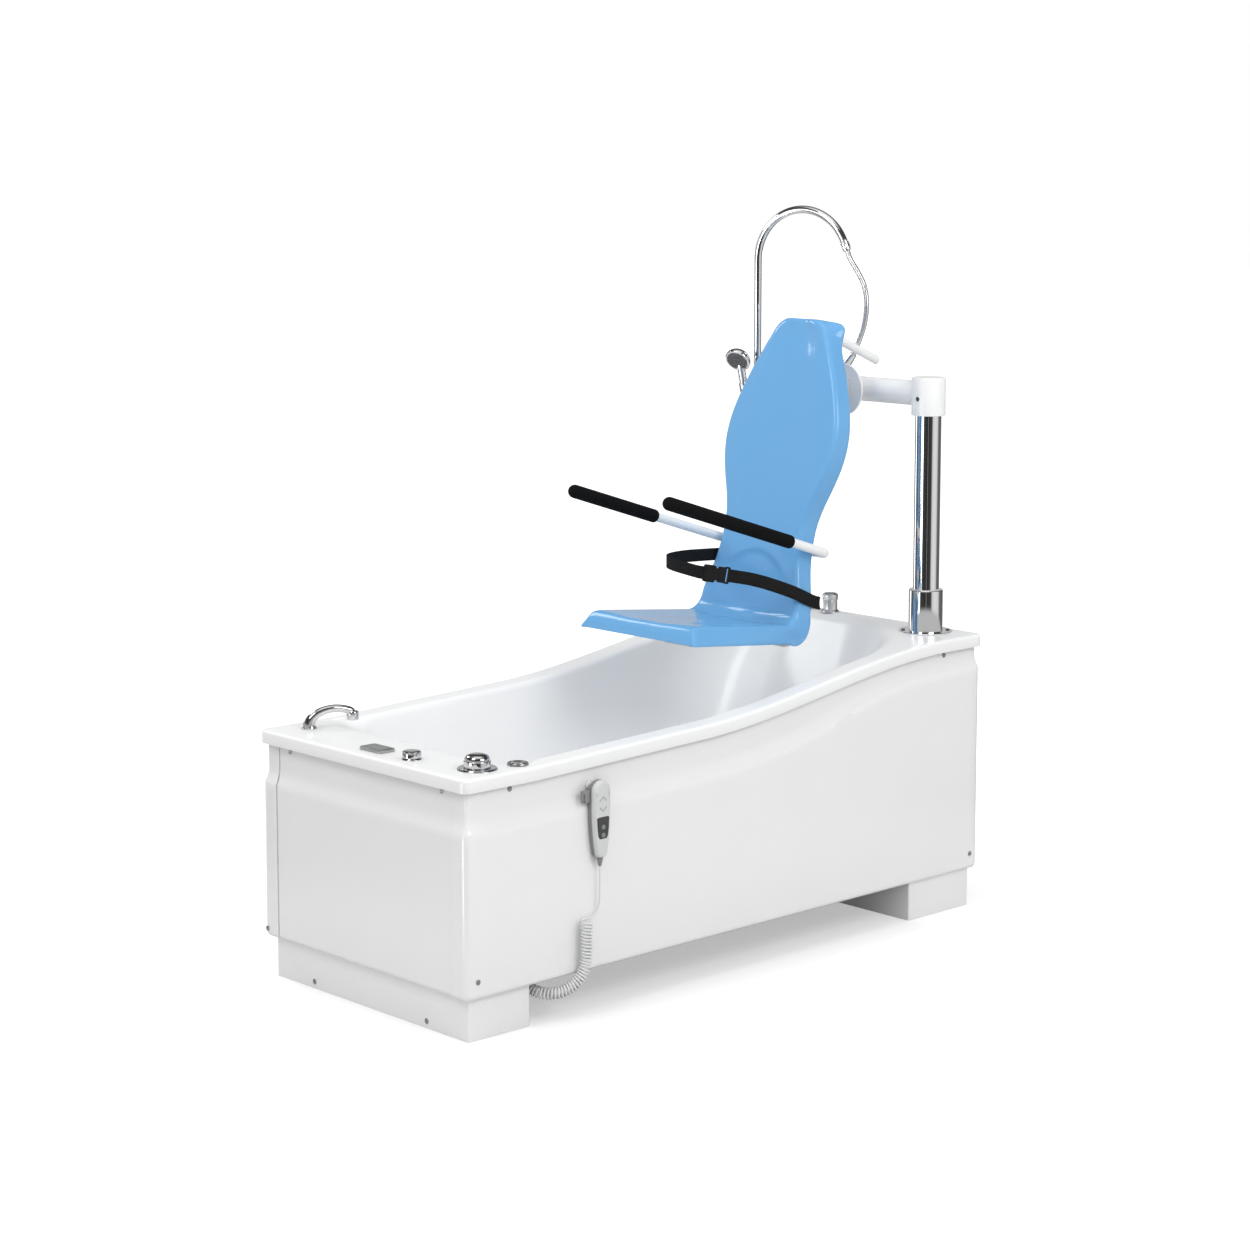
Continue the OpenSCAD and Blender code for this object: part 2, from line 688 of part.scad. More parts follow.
// Turning fitting: a base on the deck and a knob over its spindle
spindle_d = 12;
module turn_base(d, h, stem) {
    cylinder(h = h, d1 = d, d2 = d - 6);
    translate([0, 0, -deck_t - 14]) cylinder(h = deck_t + 15, d = stem);
    translate([0, 0, h - 1]) cylinder(h = 13, d = spindle_d);
}
module turn_knob(d, h, cut) {
    difference() {
        rotate_extrude($fn = 64) polygon([[0, 0], [d / 2, 0], [d / 2, h * 0.55], [d * 0.47, h * 0.74],
            [d * 0.38, h * 0.89], [d * 0.22, h * 0.97], [0, h]]);
        translate([0, 0, -1]) cylinder(h = 13.5, d = spindle_d + 2 * pin_gap);
        for (a = [0:360 / cut:359]) rotate([0, 0, a]) translate([d / 2 + 2, 0, -1])
            cylinder(h = h * 0.5, d = 10);
    }
}
module drum_knob(d, h) {
    difference() {
        rotate_extrude($fn = 64) polygon([[0, 0], [d / 2, 0], [d / 2, h * 0.86], [d / 2 - 2, h], [0, h]]);
        translate([0, 0, -1]) cylinder(h = 13.5, d = spindle_d + 2 * pin_gap);
    }
}
base_h = 5;
diverter_h = 18;
module diverter_base() color("silver") at(diverter_at, foot_deck_z)
    turn_base(diverter_d + 4, base_h, small_stem_d);
module diverter_knob() color("silver") at(diverter_at, foot_deck_z + base_h + gap)
    drum_knob(diverter_d, diverter_h);
module mixer_plate() color("silver") at(mixer_at, foot_deck_z) turn_base(mixer_plate_d, base_h, stem_d);
module mixer_knob() color("silver") at(mixer_at, foot_deck_z + base_h + gap) turn_knob(mixer_d,
    mixer_h, 8);
inlet_h = 38;
module inlet_base() color("silver") at(inlet_at, head_deck_z) {
    cylinder(h = 6, d1 = inlet_d + 10, d2 = inlet_d);
    translate([0, 0, 5]) cylinder(h = inlet_h - 5, d = inlet_d - 4);
    translate([0, 0, inlet_h - 1]) cylinder(h = 13, d = spindle_d);
    translate([0, 0, -deck_t - 14]) cylinder(h = deck_t + 15, d = small_stem_d);
}
module inlet_knob() color("silver") at(inlet_at, head_deck_z + inlet_h + gap) turn_knob(inlet_d, 22, 12);

module button_ring() color("silver") at(button_at, foot_deck_z + 0.8) difference() {
    union() {
        cylinder(h = 6, d1 = button_ring_d, d2 = button_ring_d - 6);
        translate([0, 0, -deck_t - 20]) cylinder(h = deck_t + 21, d = small_stem_d);
    }
    translate([0, 0, 6 - button_travel - 1]) cylinder(h = 10, d = button_d + 2 * gap);
    translate([0, 0, -16]) cylinder(h = 30, d = spindle_d + 2 * gap);
}
module push_button() color("gainsboro") at(button_at, foot_deck_z + 0.8) {
    translate([0, 0, 6 - 0.6]) cylinder(h = 2, d = button_d);
    translate([0, 0, -12]) cylinder(h = 18, d = spindle_d);
}

// Thermostatic mixing valve under the foot deck; its two threaded tails hang inboard of the frame's rail,
// each under a shoulder, so that the supply nuts come straight up from below
valve_drop = 60;
valve_d = 46;
valve_arm_d = 34;
tail_d = 26.4;
tail_l = 60;
tail_in = 60;
tail_pitch = 75;
tail_aside = 6;
stem_reach = 14;
module mixing_valve() color("goldenrod") at(mixer_at,
    foot_deck_z - deck_t - stem_reach - gap - valve_drop) {
    cylinder(h = valve_drop, d = valve_d);
    translate([tail_aside, 0, valve_drop / 2]) rotate([-90, 0, 0])
        cylinder(h = tail_in + tail_pitch, d = valve_arm_d);
    for (y = [tail_in, tail_in + tail_pitch]) translate([tail_aside, y, 0]) {
        cylinder(h = valve_drop / 2, d = valve_arm_d);
        translate([0, 0, -tail_l]) cylinder(h = tail_l + 1, d = tail_d);
    }
}

// Column: collar on the deck, housing below it, bushes, actuator and lift tube
bush_h = 38;
tube_over = 15;
lift_bottom_z = rail_z + lift_travel + tube_over;
lift_top_z = cap_z + cap_h - 15;
bush_d = housing_d - 8 - 2 * gap;
collar_top_z = head_deck_z + collar_h;
collar_screw_r = flange_d / 2 - 14;
module collar_hole() {
    for (a = [45:90:315]) rotate([0, 0, a]) translate([collar_screw_r, 0, -20]) cylinder(h = 40,
        d = 7, $fn = 24);
}
module column_collar() color("silver") at(column_at, head_deck_z) difference() {
    union() {
        cylinder(h = flange_t, d = flange_d, $fn = 96);
        cylinder(h = collar_h, d = collar_d, $fn = 96);
    }
    translate([0, 0, -1]) cylinder(h = collar_h + 2, d = housing_d - 8, $fn = 96);
    collar_hole();
}
module collar_screws() color("dimgray") at(column_at, head_deck_z) {
    for (a = [45:90:315]) rotate([0, 0, a]) translate([collar_screw_r, 0, 0]) {
        translate([0, 0, flange_t]) cylinder(h = 3, d = 12, $fn = 24);
        translate([0, 0, gap]) cylinder(h = flange_t, d = 6, $fn = 24);
    }
}
module column_housing() color("gray") at(column_at, rail_z) difference() {
    cylinder(h = head_deck_z - rail_z - gap, d = housing_d, $fn = 96);
    translate([0, 0, -1]) cylinder(h = head_deck_z - rail_z + 2, d = housing_d - 8, $fn = 96);
}
module guide_bushes() color("ivory") at(column_at) {
    for (z = [lift_bottom_z + 14, collar_top_z - bush_h]) translate([0, 0, z]) difference() {
        cylinder(h = bush_h, d = bush_d, $fn = 96);
        translate([0, 0, -1]) cylinder(h = bush_h + 2, d = lift_d + 2 * pin_gap, $fn = 96);
    }
}
module lift_tube() color("silver") at(column_at, lift_bottom_z) difference() {
    cylinder(h = lift_top_z - lift_bottom_z, d = lift_d, $fn = 96);
    translate([0, 0, -1]) cylinder(h = lift_top_z - lift_bottom_z - 9, d = lift_d - 2 * lift_wall,
        $fn = 96);
}
actuator_top_z = lift_bottom_z + 10;
rod_bottom_z = lift_bottom_z - 5;
module lift_actuator() color("darkslategray") at(column_at, rail_z) difference() {
    cylinder(h = actuator_top_z - rail_z, d = actuator_d);
    translate([0, 0, 4]) cylinder(h = actuator_top_z, d = rod_d + 2 * pin_gap);
}
module actuator_rod() color("lightgray") at(column_at, rod_bottom_z)
    cylinder(h = lift_top_z - 10 - rod_bottom_z, d = rod_d);

// Cap and arm turn about the lift tube
cap_screw_z = 51;
cap_screw_d = 14;
module column_cap() color("white") at(column_at, cap_z) difference() {
    cylinder(h = cap_h, d = cap_d, $fn = 96);
    translate([0, 0, -1]) cylinder(h = lift_top_z - cap_z + 1 + gap, d = lift_d + 2 * pin_gap, $fn = 96);
    translate([-cap_d / 2 - 1, 0, cap_screw_z]) rotate([0, 90, 0])
        cylinder(h = 12, d = cap_screw_d + 2 * gap, $fn = 24);
}
module cap_screw() color("dimgray") at(column_at, cap_z + cap_screw_z)
    translate([-cap_d / 2 + 1.5, 0, 0]) rotate([0, 90, 0]) difference() {
        cylinder(h = (cap_d - lift_d) / 2 - 2.5, d = cap_screw_d, $fn = 24);
        translate([0, 0, -1]) cylinder(h = 4, d = 4, $fn = 24);
    }
arm_end_y = 12;
module support_arm() color("white") difference() {
    translate([column_x, arm_end_y, arm_z]) rotate([90, 0, 0])
        cylinder(h = arm_end_y + column_y, d = arm_d, $fn = 96);
    at(column_at, cap_z - 1) cylinder(h = cap_h + 2, d = cap_d + gap, $fn = 96);
}
disc_in = 62;
disc_x = column_x - disc_in;
module hub_disc() color("white") difference() {
    translate([disc_x, 0, arm_z]) rotate([0, 90, 0]) {
        cylinder(h = disc_t / 2, d = disc_d, $fn = 96);
        translate([0, 0, disc_t / 2]) cylinder(h = disc_t / 2, d1 = disc_d, d2 = disc_d - 24, $fn = 96);
        cylinder(h = column_x - disc_x, d = arm_d - 12, $fn = 96);
    }
    translate([column_x, arm_end_y + 40, arm_z]) rotate([90, 0, 0]) cylinder(h = 200,
        d = arm_d + gap, $fn = 96);
}

// Seat path in the XZ plane: pan, crease and back, each place with its direction
back_angle = 90 - recline;
crease_turn = back_angle + pan_tilt;
crease_cut = crease_r * tan(crease_turn / 2);
function unit(a) = [cos(a), sin(a)];
function left(a) = [-sin(a), cos(a)];
crease_at = [seat_front_x, seat_front_z] + pan_l * unit(-pan_tilt);
crease_start = crease_at - crease_cut * unit(-pan_tilt);
crease_mid = crease_start + crease_r * left(-pan_tilt);
back_l = back_shape[len(back_shape) - 1][0];
function on_back(s) = crease_at + s * unit(back_angle);
edge_r = 16;
front_taper = 10;
crease_taper = 18;
edge_draft = 5;
front_flare = 28;
front_lean = 22;
top_flare = 66;
top_flare_l = 100;
back_deeper = 8;
heel = 18;
// How far the hollow's form runs out past the shell's rear edge
past_edge = 9;
// Each station holds x, z, direction, half width, flare to the rear edge, depth and forward lean
function pan_station(k, cut) =
    let (p = [seat_front_x, seat_front_z] + (cut + k * (pan_l - crease_cut - cut)) * unit(-pan_tilt))
    [p[0], p[1], -pan_tilt, pan_w - front_taper * (1 - k), front_flare * (1 - k) + edge_draft, seat_edge,
        k == 0 ? front_lean : 0];
function crease_station(k) = let (a = -pan_tilt + crease_turn * k, p = crease_mid - crease_r * left(a))
    [p[0], p[1], a, pan_w - crease_taper * k, edge_draft,
        seat_edge + back_deeper * k + heel * sin(180 * k), 0];
function back_station(b, cut) = let (p = on_back(min(b[0], back_l - cut)))
    [p[0], p[1], back_angle, b[1],
        edge_draft + top_flare * pow(clamp01((b[0] - back_l) / top_flare_l + 1), 2),
        seat_edge + back_deeper, 0];
function seat_stations(cut) = concat([for (k = [0, 0.3, 0.6, 0.85]) pan_station(k, cut)],
    [for (k = [0:0.2:1]) crease_station(k)], [for (b = back_shape) back_station(b, cut)]);
function seat_section(s, cut, more) =
    let (w = s[3] - cut, r = edge_r - cut / 2, d = s[5] + more,
        half = [[w + s[4], -d], [w + s[4] * r / d, -r - cut], [w - 0.3 * r, -0.3 * r - cut],
            [w - r, -cut]],
        full = concat(half, [for (i = [3:-1:0]) [-half[i][0], half[i][1]]]))
    [for (p = full) let (q = [s[0], s[1]] + p[1] * left(s[2]) + s[6] * p[1] / d * unit(s[2]))
        [q[0], p[0], q[1]]];
module seat_form(cut, more) {
    loft([for (s = seat_stations(cut)) seat_section(s, cut, more)]);
}
module seat_shell() color("cornflowerblue") difference() {
    seat_form(0, 0);
    seat_form(seat_wall, past_edge);
}

// Bracket behind and under the seat shell, with the pins that the armrests turn on
spine_w = 60;
spine_t = 20;
boss_w = 92;
pin_l = 62;
boss_d = 40;
spine_from = 70;
spine_top = 0.8 * back_l;
// Bars behind the shell that the belt's two ends go round
anchor_x = seat_front_x + 521;
anchor_z = seat_front_z + 7;
anchor_w = 205;
anchor_t = 7;
anchor_back = 66;
high_anchor_x = seat_front_x + 542;
high_anchor_z = seat_front_z + 115;
high_anchor_w = 169;
function spine_side(d) = concat(
    [[seat_front_x, seat_front_z] + spine_from * unit(-pan_tilt) - d * left(-pan_tilt)],
    [for (k = [0:0.2:1]) let (a = -pan_tilt + crease_turn * k) crease_mid - (crease_r + d) * left(a)],
    [on_back(spine_top) - d * left(back_angle)]);
// Rests under the near side of the pan: distance from the front edge, reach, upper and lower end
rests = [[99, 112, -26, -82], [438, 162, -56, -117]];
rest_t = 22;
module seat_bracket() color("gray") {
    for (q = rests) translate([seat_front_x + q[0] - rest_t / 2, -q[1], seat_front_z + q[3]])
        cube([rest_t, q[1], q[2] - q[3]]);
    inner = seat_wall + gap;
    pts = concat(spine_side(inner), [for (i = [7:-1:0]) spine_side(inner + spine_t)[i]]);
    back_x = on_back((arm_z - crease_at[1]) / sin(back_angle))[0] + inner;
    flat_y(spine_w) polygon(pts);
    translate([back_x + spine_t / 2, -spine_w / 2, arm_z - 30])
        cube([disc_x - gap - back_x - spine_t / 2, spine_w, 60]);
    translate([armrest_x, boss_w, armrest_z]) rotate([90, 0, 0]) cylinder(h = 2 * boss_w, d = boss_d);
    translate([armrest_x - 90, -spine_w / 2, armrest_z - boss_d / 2]) cube([90, spine_w, boss_d]);
    translate([armrest_x, boss_w + pin_l, armrest_z]) rotate([90, 0, 0])
        cylinder(h = 2 * (boss_w + pin_l), d = pivot_d);
    translate([anchor_x - anchor_back, -spine_w / 2, anchor_z - 14])
        cube([anchor_back + anchor_t, spine_w, 28]);
    translate([anchor_x, -anchor_w, anchor_z - 18]) cube([anchor_t, anchor_w + spine_w / 2, 36]);
    translate([high_anchor_x, 0, high_anchor_z - 18]) cube([anchor_t, high_anchor_w, 36]);
}
handle_start = [seat_front_x + 726, seat_front_z + 810.2];
handle_l = 300;
plate_t = 8;
plate_low = 755;
plate_high = 862;
module push_handle() color("white") {
    behind = seat_wall + gap;
    translate([handle_start[0], 0, handle_start[1]]) rotate([0, 90 + handle_tilt, 0])
        cylinder(h = handle_l, d = handle_d);
    flat_y(spine_w) polygon([
        for (q = [[plate_low, 0], [plate_low, plate_t], [plate_high, plate_t], [plate_high, 0]])
            on_back(q[0]) - (behind + q[1]) * left(back_angle)]);
    flat_y(handle_d / 2) polygon([
        on_back(plate_low + 30) - (behind + plate_t / 2) * left(back_angle),
        handle_start + [26, -14], handle_start + [1, -3],
        on_back(plate_high - 4) - (behind + plate_t / 2) * left(back_angle)]);
}

// Armrests: a bent tube on a pivot pin, with a foam grip
module armrest_frame() {
    translate([armrest_x, 0, armrest_z]) rotate([0, armrest_tilt, 0]) children();
}
module armrest(side) {
    armrest_frame() difference() {
        union() {
            translate([-armrest_bend, side * armrest_y, 0]) rotate([0, -90, 0])
                cylinder(h = armrest_l - armrest_bend, d = armrest_d);
            translate([-armrest_bend, side * (armrest_y - armrest_bend), 0])
                rotate([0, 0, side > 0 ? 0 : -90]) elbow(armrest_bend, armrest_d, 90);
            translate([0, side * (boss_w + gap), 0]) rotate([-90 * side, 0, 0])
                cylinder(h = armrest_y - armrest_bend - boss_w - gap, d = armrest_d);
        }
        translate([0, side * boss_w, 0]) rotate([-90 * side, 0, 0])
            cylinder(h = pin_l + 1, d = pivot_d + 2 * pin_gap);
        translate([-armrest_bend - armrest_wall, side * armrest_y, 0]) rotate([0, -90, 0])
            cylinder(h = armrest_l, d = armrest_d - 2 * armrest_wall);
    }
}
module grip(side, l) {
    armrest_frame() translate([-armrest_l + l - 12, side * armrest_y, 0]) rotate([0, -90, 0])
        difference() {
        rotate_extrude($fn = 48) polygon([[0, 0], [grip_d / 2 - 4, 0], [grip_d / 2, 4],
            [grip_d / 2, l - 14], [grip_d / 2 - 3, l - 6], [grip_d / 2 - 9, l - 1], [0, l]]);
        translate([0, 0, -1]) cylinder(h = l - 11 + gap, d = armrest_d + 2 * gap);
    }
}
module armrest_front() color("white") armrest(-1);
module armrest_back() color("white") armrest(1);
module grip_front() color("black") grip(-1, grip_front_l);
module grip_back() color("black") grip(1, grip_back_l);

// Lap belt: webbing from one edge of the back round to the other, in two runs joined by the buckle
belt_near = from_seat([
    [530.2, -150, 6], [530.2, -198, 7], [529.6, -206, 8], [526, -209.6, 9], [520, -210.2, 11],
    [500, -210.2, 17], [470, -209, 30], [420, -205, 52], [350, -192, 79], [280, -172, 102],
    [208, -150, 118]]);
belt_far = from_seat([
    [130, -118, 132], [121, -109, 134], [117, -90, 136.5], [118, -60, 139], [124, -20, 141],
    [138, 25, 142], [162, 66, 142], [200, 98, 140], [258, 130, 136], [332, 156, 131], [410, 172, 125],
    [480, 180.5, 120], [530, 182, 117], [538, 181.5, 115], [546, 179, 115], [550.2, 174, 115],
    [550.6, 166, 115], [550.6, 120, 115]]);
function strap_rings(pts) = [for (i = [0:len(pts) - 1])
    let (d = way(pts, i), n = unit3([-d[1], d[0], 0]), up = cross3(d, n), t = n * belt_t / 2,
        h = up * belt_w / 2)
    [pts[i] - t - h, pts[i] + t - h, pts[i] + t + h, pts[i] - t + h]];
module lap_belt() color("black") {
    loft(strap_rings(belt_near));
    loft(strap_rings(belt_far));
}
// The buckle's frame lies between the ends of the two runs
buckle_a = belt_near[len(belt_near) - 1];
buckle_b = belt_far[0];
buckle_split = 0.45;
module on_buckle() {
    d = buckle_b - buckle_a;
    translate((buckle_a + buckle_b) / 2) rotate([0, -asin(d[2] / norm(d)), atan2(d[1], d[0])]) children();
}
module buckle_part(x0, x1) {
    on_buckle() translate([(x0 + x1) / 2, 0, -buckle_w / 2]) round_slab(abs(x1 - x0) / 2,
        buckle_t / 2, 4, buckle_w);
}
half_buckle = norm(buckle_b - buckle_a) / 2 - gap - 1;
module buckle_plug() color("black") buckle_part(-half_buckle,
    -half_buckle + 2 * half_buckle * buckle_split - gap / 2);
module buckle_socket() color("black") buckle_part(half_buckle,
    -half_buckle + 2 * half_buckle * buckle_split + gap / 2);

// Shower: riser with a gooseneck that leans towards the front and the head end
gooseneck_turn = -76;
gooseneck_sweep = 157;
union_gap = 3;
riser_foot_d = 50;
module shower_riser() color("silver") at(riser_at) {
    translate([0, 0, head_deck_z]) cylinder(h = 5, d1 = riser_foot_d, d2 = riser_foot_d - 6);
    translate([0, 0, head_deck_z - deck_t - 14]) cylinder(h = deck_t + 15, d = small_stem_d);
    translate([0, 0, head_deck_z + 4]) cylinder(h = gooseneck_z - head_deck_z - 4, d = riser_d);
    rotate([0, 0, gooseneck_turn]) translate([gooseneck_r, 0, gooseneck_z]) rotate([90, 0, 0])
        rotate([0, 0, 180 - gooseneck_sweep]) elbow(gooseneck_r, riser_d, gooseneck_sweep);
}
union_l = 30;
gooseneck_end = 180 - gooseneck_sweep;
module hose_union() color("silver") at(riser_at) rotate([0, 0, gooseneck_turn])
    translate([gooseneck_r * (1 + cos(gooseneck_end)), 0, gooseneck_z + gooseneck_r * sin(gooseneck_end)])
    rotate([0, 180 - gooseneck_end, 0]) translate([0, 0, union_gap])
        cylinder(h = union_l - union_gap, d = riser_d + 4);

// Shower hose: a bendy tube that hangs from the union, through the cone, to the handset
hose_pts = from_column([
    [39.2, 76.2, 1984.2], [42, 64, 1956], [46, 38, 1920], [49.5, 14, 1878], [51, 4, 1824],
    [50, 12, 1760], [47, 31, 1707], [43, 50, 1665], [39, 72, 1636], [30, 105, 1600], [20, 150, 1558],
    [8, 200, 1515], [-2, 254, 1478], [-11, 306, 1454], [-13, 350, 1444], [-14, 388, 1443],
    [-24, 416, 1450], [-38, 427, 1464], [-42, 427, 1482]]);
handset_end = hose_pts[len(hose_pts) - 1];
hose_sides = 10;
module shower_hose() color("silver") tube(smooth_path(hose_pts, 2), hose_d, hose_sides, [1, 0, 0]);
module along(a, b) {
    d = b - a;
    translate(a) rotate([0, acos(d[2] / norm(d)), atan2(d[1], d[0])]) children();
}
module hose_cone() color("silver") along(hose_pts[7], hose_pts[8]) difference() {
    cylinder(h = 36, d1 = hose_d + 4, d2 = hose_d + 12);
    translate([0, 0, -1]) cylinder(h = 38, d = hose_d + 3);
}
// Handset: handle, neck and tilted head with its spray face
handset_top = [column_x - 72, 426, 1612];
handset_face = [column_x - 86, 422, 1638];
head_tilt = [0, 128, 196];
head_h = 24;
module shower_handset() color("silver") {
    along(handset_end + [0, 0, 1], handset_top) {
        cylinder(h = norm(handset_top - handset_end), d1 = 20, d2 = 26);
    }
    translate(handset_face) rotate([0, 0, head_tilt[2]]) rotate([0, head_tilt[1], 0]) {
        translate([0, 0, -10]) cylinder(h = head_h, d = handset_d);
        translate([0, 0, -22]) cylinder(h = 13, d1 = 44, d2 = handset_d - 10);
        translate([0, 0, head_h - 11]) cylinder(h = 3, d = handset_d - 16);
    }
}
holder_z = 1546;
holder_h = 28;
holder_bore_d = 29;
module handset_holder() color("silver") difference() {
    union() {
        at(riser_at, holder_z - holder_h / 2) cylinder(h = holder_h, d = riser_d + 14);
        at(riser_at) along([-13, 39, holder_z - 12], [-20, 39.5, holder_z + 14]) cylinder(h = 26, d = 40);
        at(riser_at, holder_z - 8) translate([-24, 0, 0]) cube([30, 26, 16]);
    }
    at(riser_at, holder_z - 30) cylinder(h = 60, d = riser_d + 2 * gap);
    along(handset_end, handset_top) cylinder(h = 200, d = holder_bore_d);
    at(riser_at, holder_z - 40) translate([-44, 46, 0]) cube([20, 40, 80]);
}

// Hand control on its hook on the front panel
control_in = 458;
control_x = control_in - hx;
control_z0 = foot_deck_z - 278;
control_back_y = panel_y + 2;
control_nose = 4;
hook_x = control_x - 12;
hook_z = foot_deck_z - 79;
hook_disc_d = 32;
hook_neck_d = 8;
hook_head_d = 14;
hook_skin = 3;
hook_room = 9;
hook_way = 26;
tab_w = 17;
tab_h = 34;
tab_t = 7;
tab_z = foot_deck_z - 128;
tab_slot = 5;
function control_outline(s) = let (a = control_w / 2 - s, h = control_h) concat(
    [for (t = [180:20:360]) [a * 0.62 * cos(t) , s + 14 + 14 * sin(t)]],
    [[a * 0.86, h * 0.3], [a, h * 0.5], [a, h * 0.84]],
    [for (t = [0:20:180]) [a * cos(t), h * 0.86 - s + h * 0.14 * sin(t)]],
    [[-a, h * 0.84], [-a, h * 0.5], [-a * 0.86, h * 0.3]]);
key_zs = [86, 64];
key_seat = 6;
module at_control(y) {
    translate([control_x, -control_back_y - y, control_z0]) rotate([90, 0, 0]) children();
}
module control_casing() color("gainsboro") difference() {
    tab_x = control_x - control_w / 2 - tab_w + 2;
    union() {
        at_control(0) linear_extrude(control_t - control_nose) polygon(control_outline(0));
        at_control(control_t - control_nose - eps) linear_extrude(control_nose) polygon(control_outline(3));
        translate([tab_x, -control_back_y - 2 - tab_t, tab_z]) cube([tab_w, tab_t, tab_h]);
    }
    translate([tab_x + tab_slot, -control_back_y - tab_t - 3, tab_z - 1])
        cube([tab_slot, tab_t + 2, tab_h * 0.7]);
    // Keyhole in the back: a narrow slot in the skin, a wider room behind it, and the way in for the head
    translate([hook_x - hook_neck_d / 2 - gap, -control_back_y - hook_skin - 1, hook_z - hook_way])
        cube([hook_neck_d + 2 * gap, hook_skin + 2, hook_way]);
    translate([hook_x - hook_head_d / 2 - gap, -control_back_y - hook_room, hook_z - hook_way])
        cube([hook_head_d + 2 * gap, hook_room - hook_skin, hook_way]);
    for (q = [[hook_z, hook_neck_d, 0], [hook_z, hook_head_d, hook_skin], [hook_z - hook_way,
        hook_head_d, 0]])
        translate([hook_x, -control_back_y + 1 - q[2] - (q[2] > 0 ? 1 : 0), q[0]]) rotate([90, 0, 0])
            cylinder(h = hook_room + 1 - q[2] - (q[2] > 0 ? 1 : 0), d = q[1] + 2 * gap);
    for (z = key_zs) at_control(control_t - key_seat) translate([0, z, 0])
        cylinder(h = 20, d = key_d + 2 * gap, $fn = 32);
}
module control_key(z) {
    at_control(control_t - key_seat + key_travel + gap) translate([0, z, 0])
        cylinder(h = key_seat, d = key_d, $fn = 32);
}
module raise_key() color("dimgray") control_key(key_zs[0]);
module lower_key() color("dimgray") control_key(key_zs[1]);
module control_hook() color("white") translate([hook_x, -side_face_y, hook_z]) rotate([90, 0, 0]) {
    skin_in = control_back_y + hook_skin + gap - side_face_y;
    cylinder(h = 6, d = hook_disc_d);
    cylinder(h = skin_in + 1, d = hook_neck_d);
    translate([0, 0, skin_in]) cylinder(h = hook_room - hook_skin - 2 * gap, d = hook_head_d);
}
relief_l = 22;
module cord_relief() color("gray") at_control(control_t / 2) translate([0, -relief_l, 0])
    rotate([-90, 0, 0])
    cylinder(h = relief_l, d1 = cord_d + 3, d2 = cord_d + 12, $fn = 32);

// Cord: a straight run, then the curly stretch that dips under the panel to the gland
cord_y = -control_back_y - control_t / 2;
lead_y = -449;
lead_drop = 160;
lead_z = control_z0 - lead_drop;
function from_control(pts, z = 0) = [for (p = pts) p + [control_x, 0, z]];
cord_pts = from_control([
    [0, cord_y, -relief_l], [0, -456, -56], [0, -455, -91], [0, -453, -118], [-2, -451, -134],
    [-6, -449.5, -145], [-13, lead_y, -153], [-22, lead_y, -158], [-32, lead_y, -lead_drop],
    [-41, lead_y, -lead_drop]], control_z0);
module control_cord() color("gainsboro") tube(cord_pts, cord_d, 8, [0, 1, 0]);
// Middle line of the curls
curl_r = (curl_d - cord_d) / 2;
curl_pts = from_control([
    [-55, lead_y - curl_r, lead_z - 1], [-55, -463, 236], [-56, -463, 203], [-57, -463, 168],
    [-61, -462, 138], [-73, -457, 112], [-94, -449, 92], [-122, -437, 79], [-149, -420, 76],
    [-169, -398, 79], [-181, -372, 87], [-185, -350, 101], [-185, -338, 118], [-185, -334, 134],
    [-185, -334, 147]]);
curl_line = smooth_path(curl_pts, 4);
curl_rings = 8;
// Running length along the middle line, and the place at a share of it
function run_to(p, i) = i == 0 ? 0 : run_to(p, i - 1) + norm(p[i] - p[i - 1]);
curl_runs = [for (i = [0:len(curl_line) - 1]) run_to(curl_line, i)];
curl_len = curl_runs[len(curl_runs) - 1];
curl_us = carry(curl_line, [0, 1, 0], 0);
curl_xs = [for (c = [0:2]) [for (i = [0:len(curl_line) - 1]) [curl_runs[i], curl_line[i][c]]]];
curl_ux = [for (c = [0:2]) [for (i = [0:len(curl_line) - 1]) [curl_runs[i], curl_us[i][c]]]];
function curl_mid(s) = [for (c = [0:2]) lookup(s, curl_xs[c])];
function curl_u(s) = unit3([for (c = [0:2]) lookup(s, curl_ux[c])]);
curl_n = curls * curl_rings;
curl_step = 4;
// The radius fades out over the last curl, so that the end runs straight into the gland
function curl_point(k) = let (s = curl_len * k / curl_n, t = 90 + 360 * k / curl_rings, m = curl_mid(s),
        d = unit3(curl_mid(min(s + curl_step, curl_len)) - curl_mid(max(s - curl_step, 0))),
        u = unit3(curl_u(s) - (curl_u(s) * d) * d), w = cross3(d, u),
            r = curl_r * smooth((curl_n - k) / curl_rings))
    m + r * (sin(t) * u + cos(t) * w);
gland_at = curl_pts[len(curl_pts) - 1] + [0, 0, cord_d + 1];
curl_path = concat([cord_pts[len(cord_pts) - 1], cord_pts[len(cord_pts) - 1] - [cord_d + 1, 0, 0]],
    [for (k = [0:curl_n]) curl_point(k)], [gland_at]);
// The least gap between neighbouring curls
curl_gap = min([for (k = [2:curl_n - curl_rings], j = [curl_rings - 2:curl_rings + 2])
    norm(curl_path[k + j] - curl_path[k])]) - cord_d;
echo(curl_gap = curl_gap);
module curly_cord() color("whitesmoke") tube(curl_path, cord_d, 6, [0, 0, 1]);
box_w = 150;
box_l = 220;
box_h = 80;
box_z = 167;
box_behind = 73;
module cord_gland() color("gray") translate(gland_at) cylinder(h = box_z - gland_at[2], d1 = 14,
    d2 = 22, $fn = 32);
module control_box() color("gray") translate([gland_at[0] - box_behind, frame_s / 2 - rail_y, box_z])
    cube([box_l, box_w, box_h]);

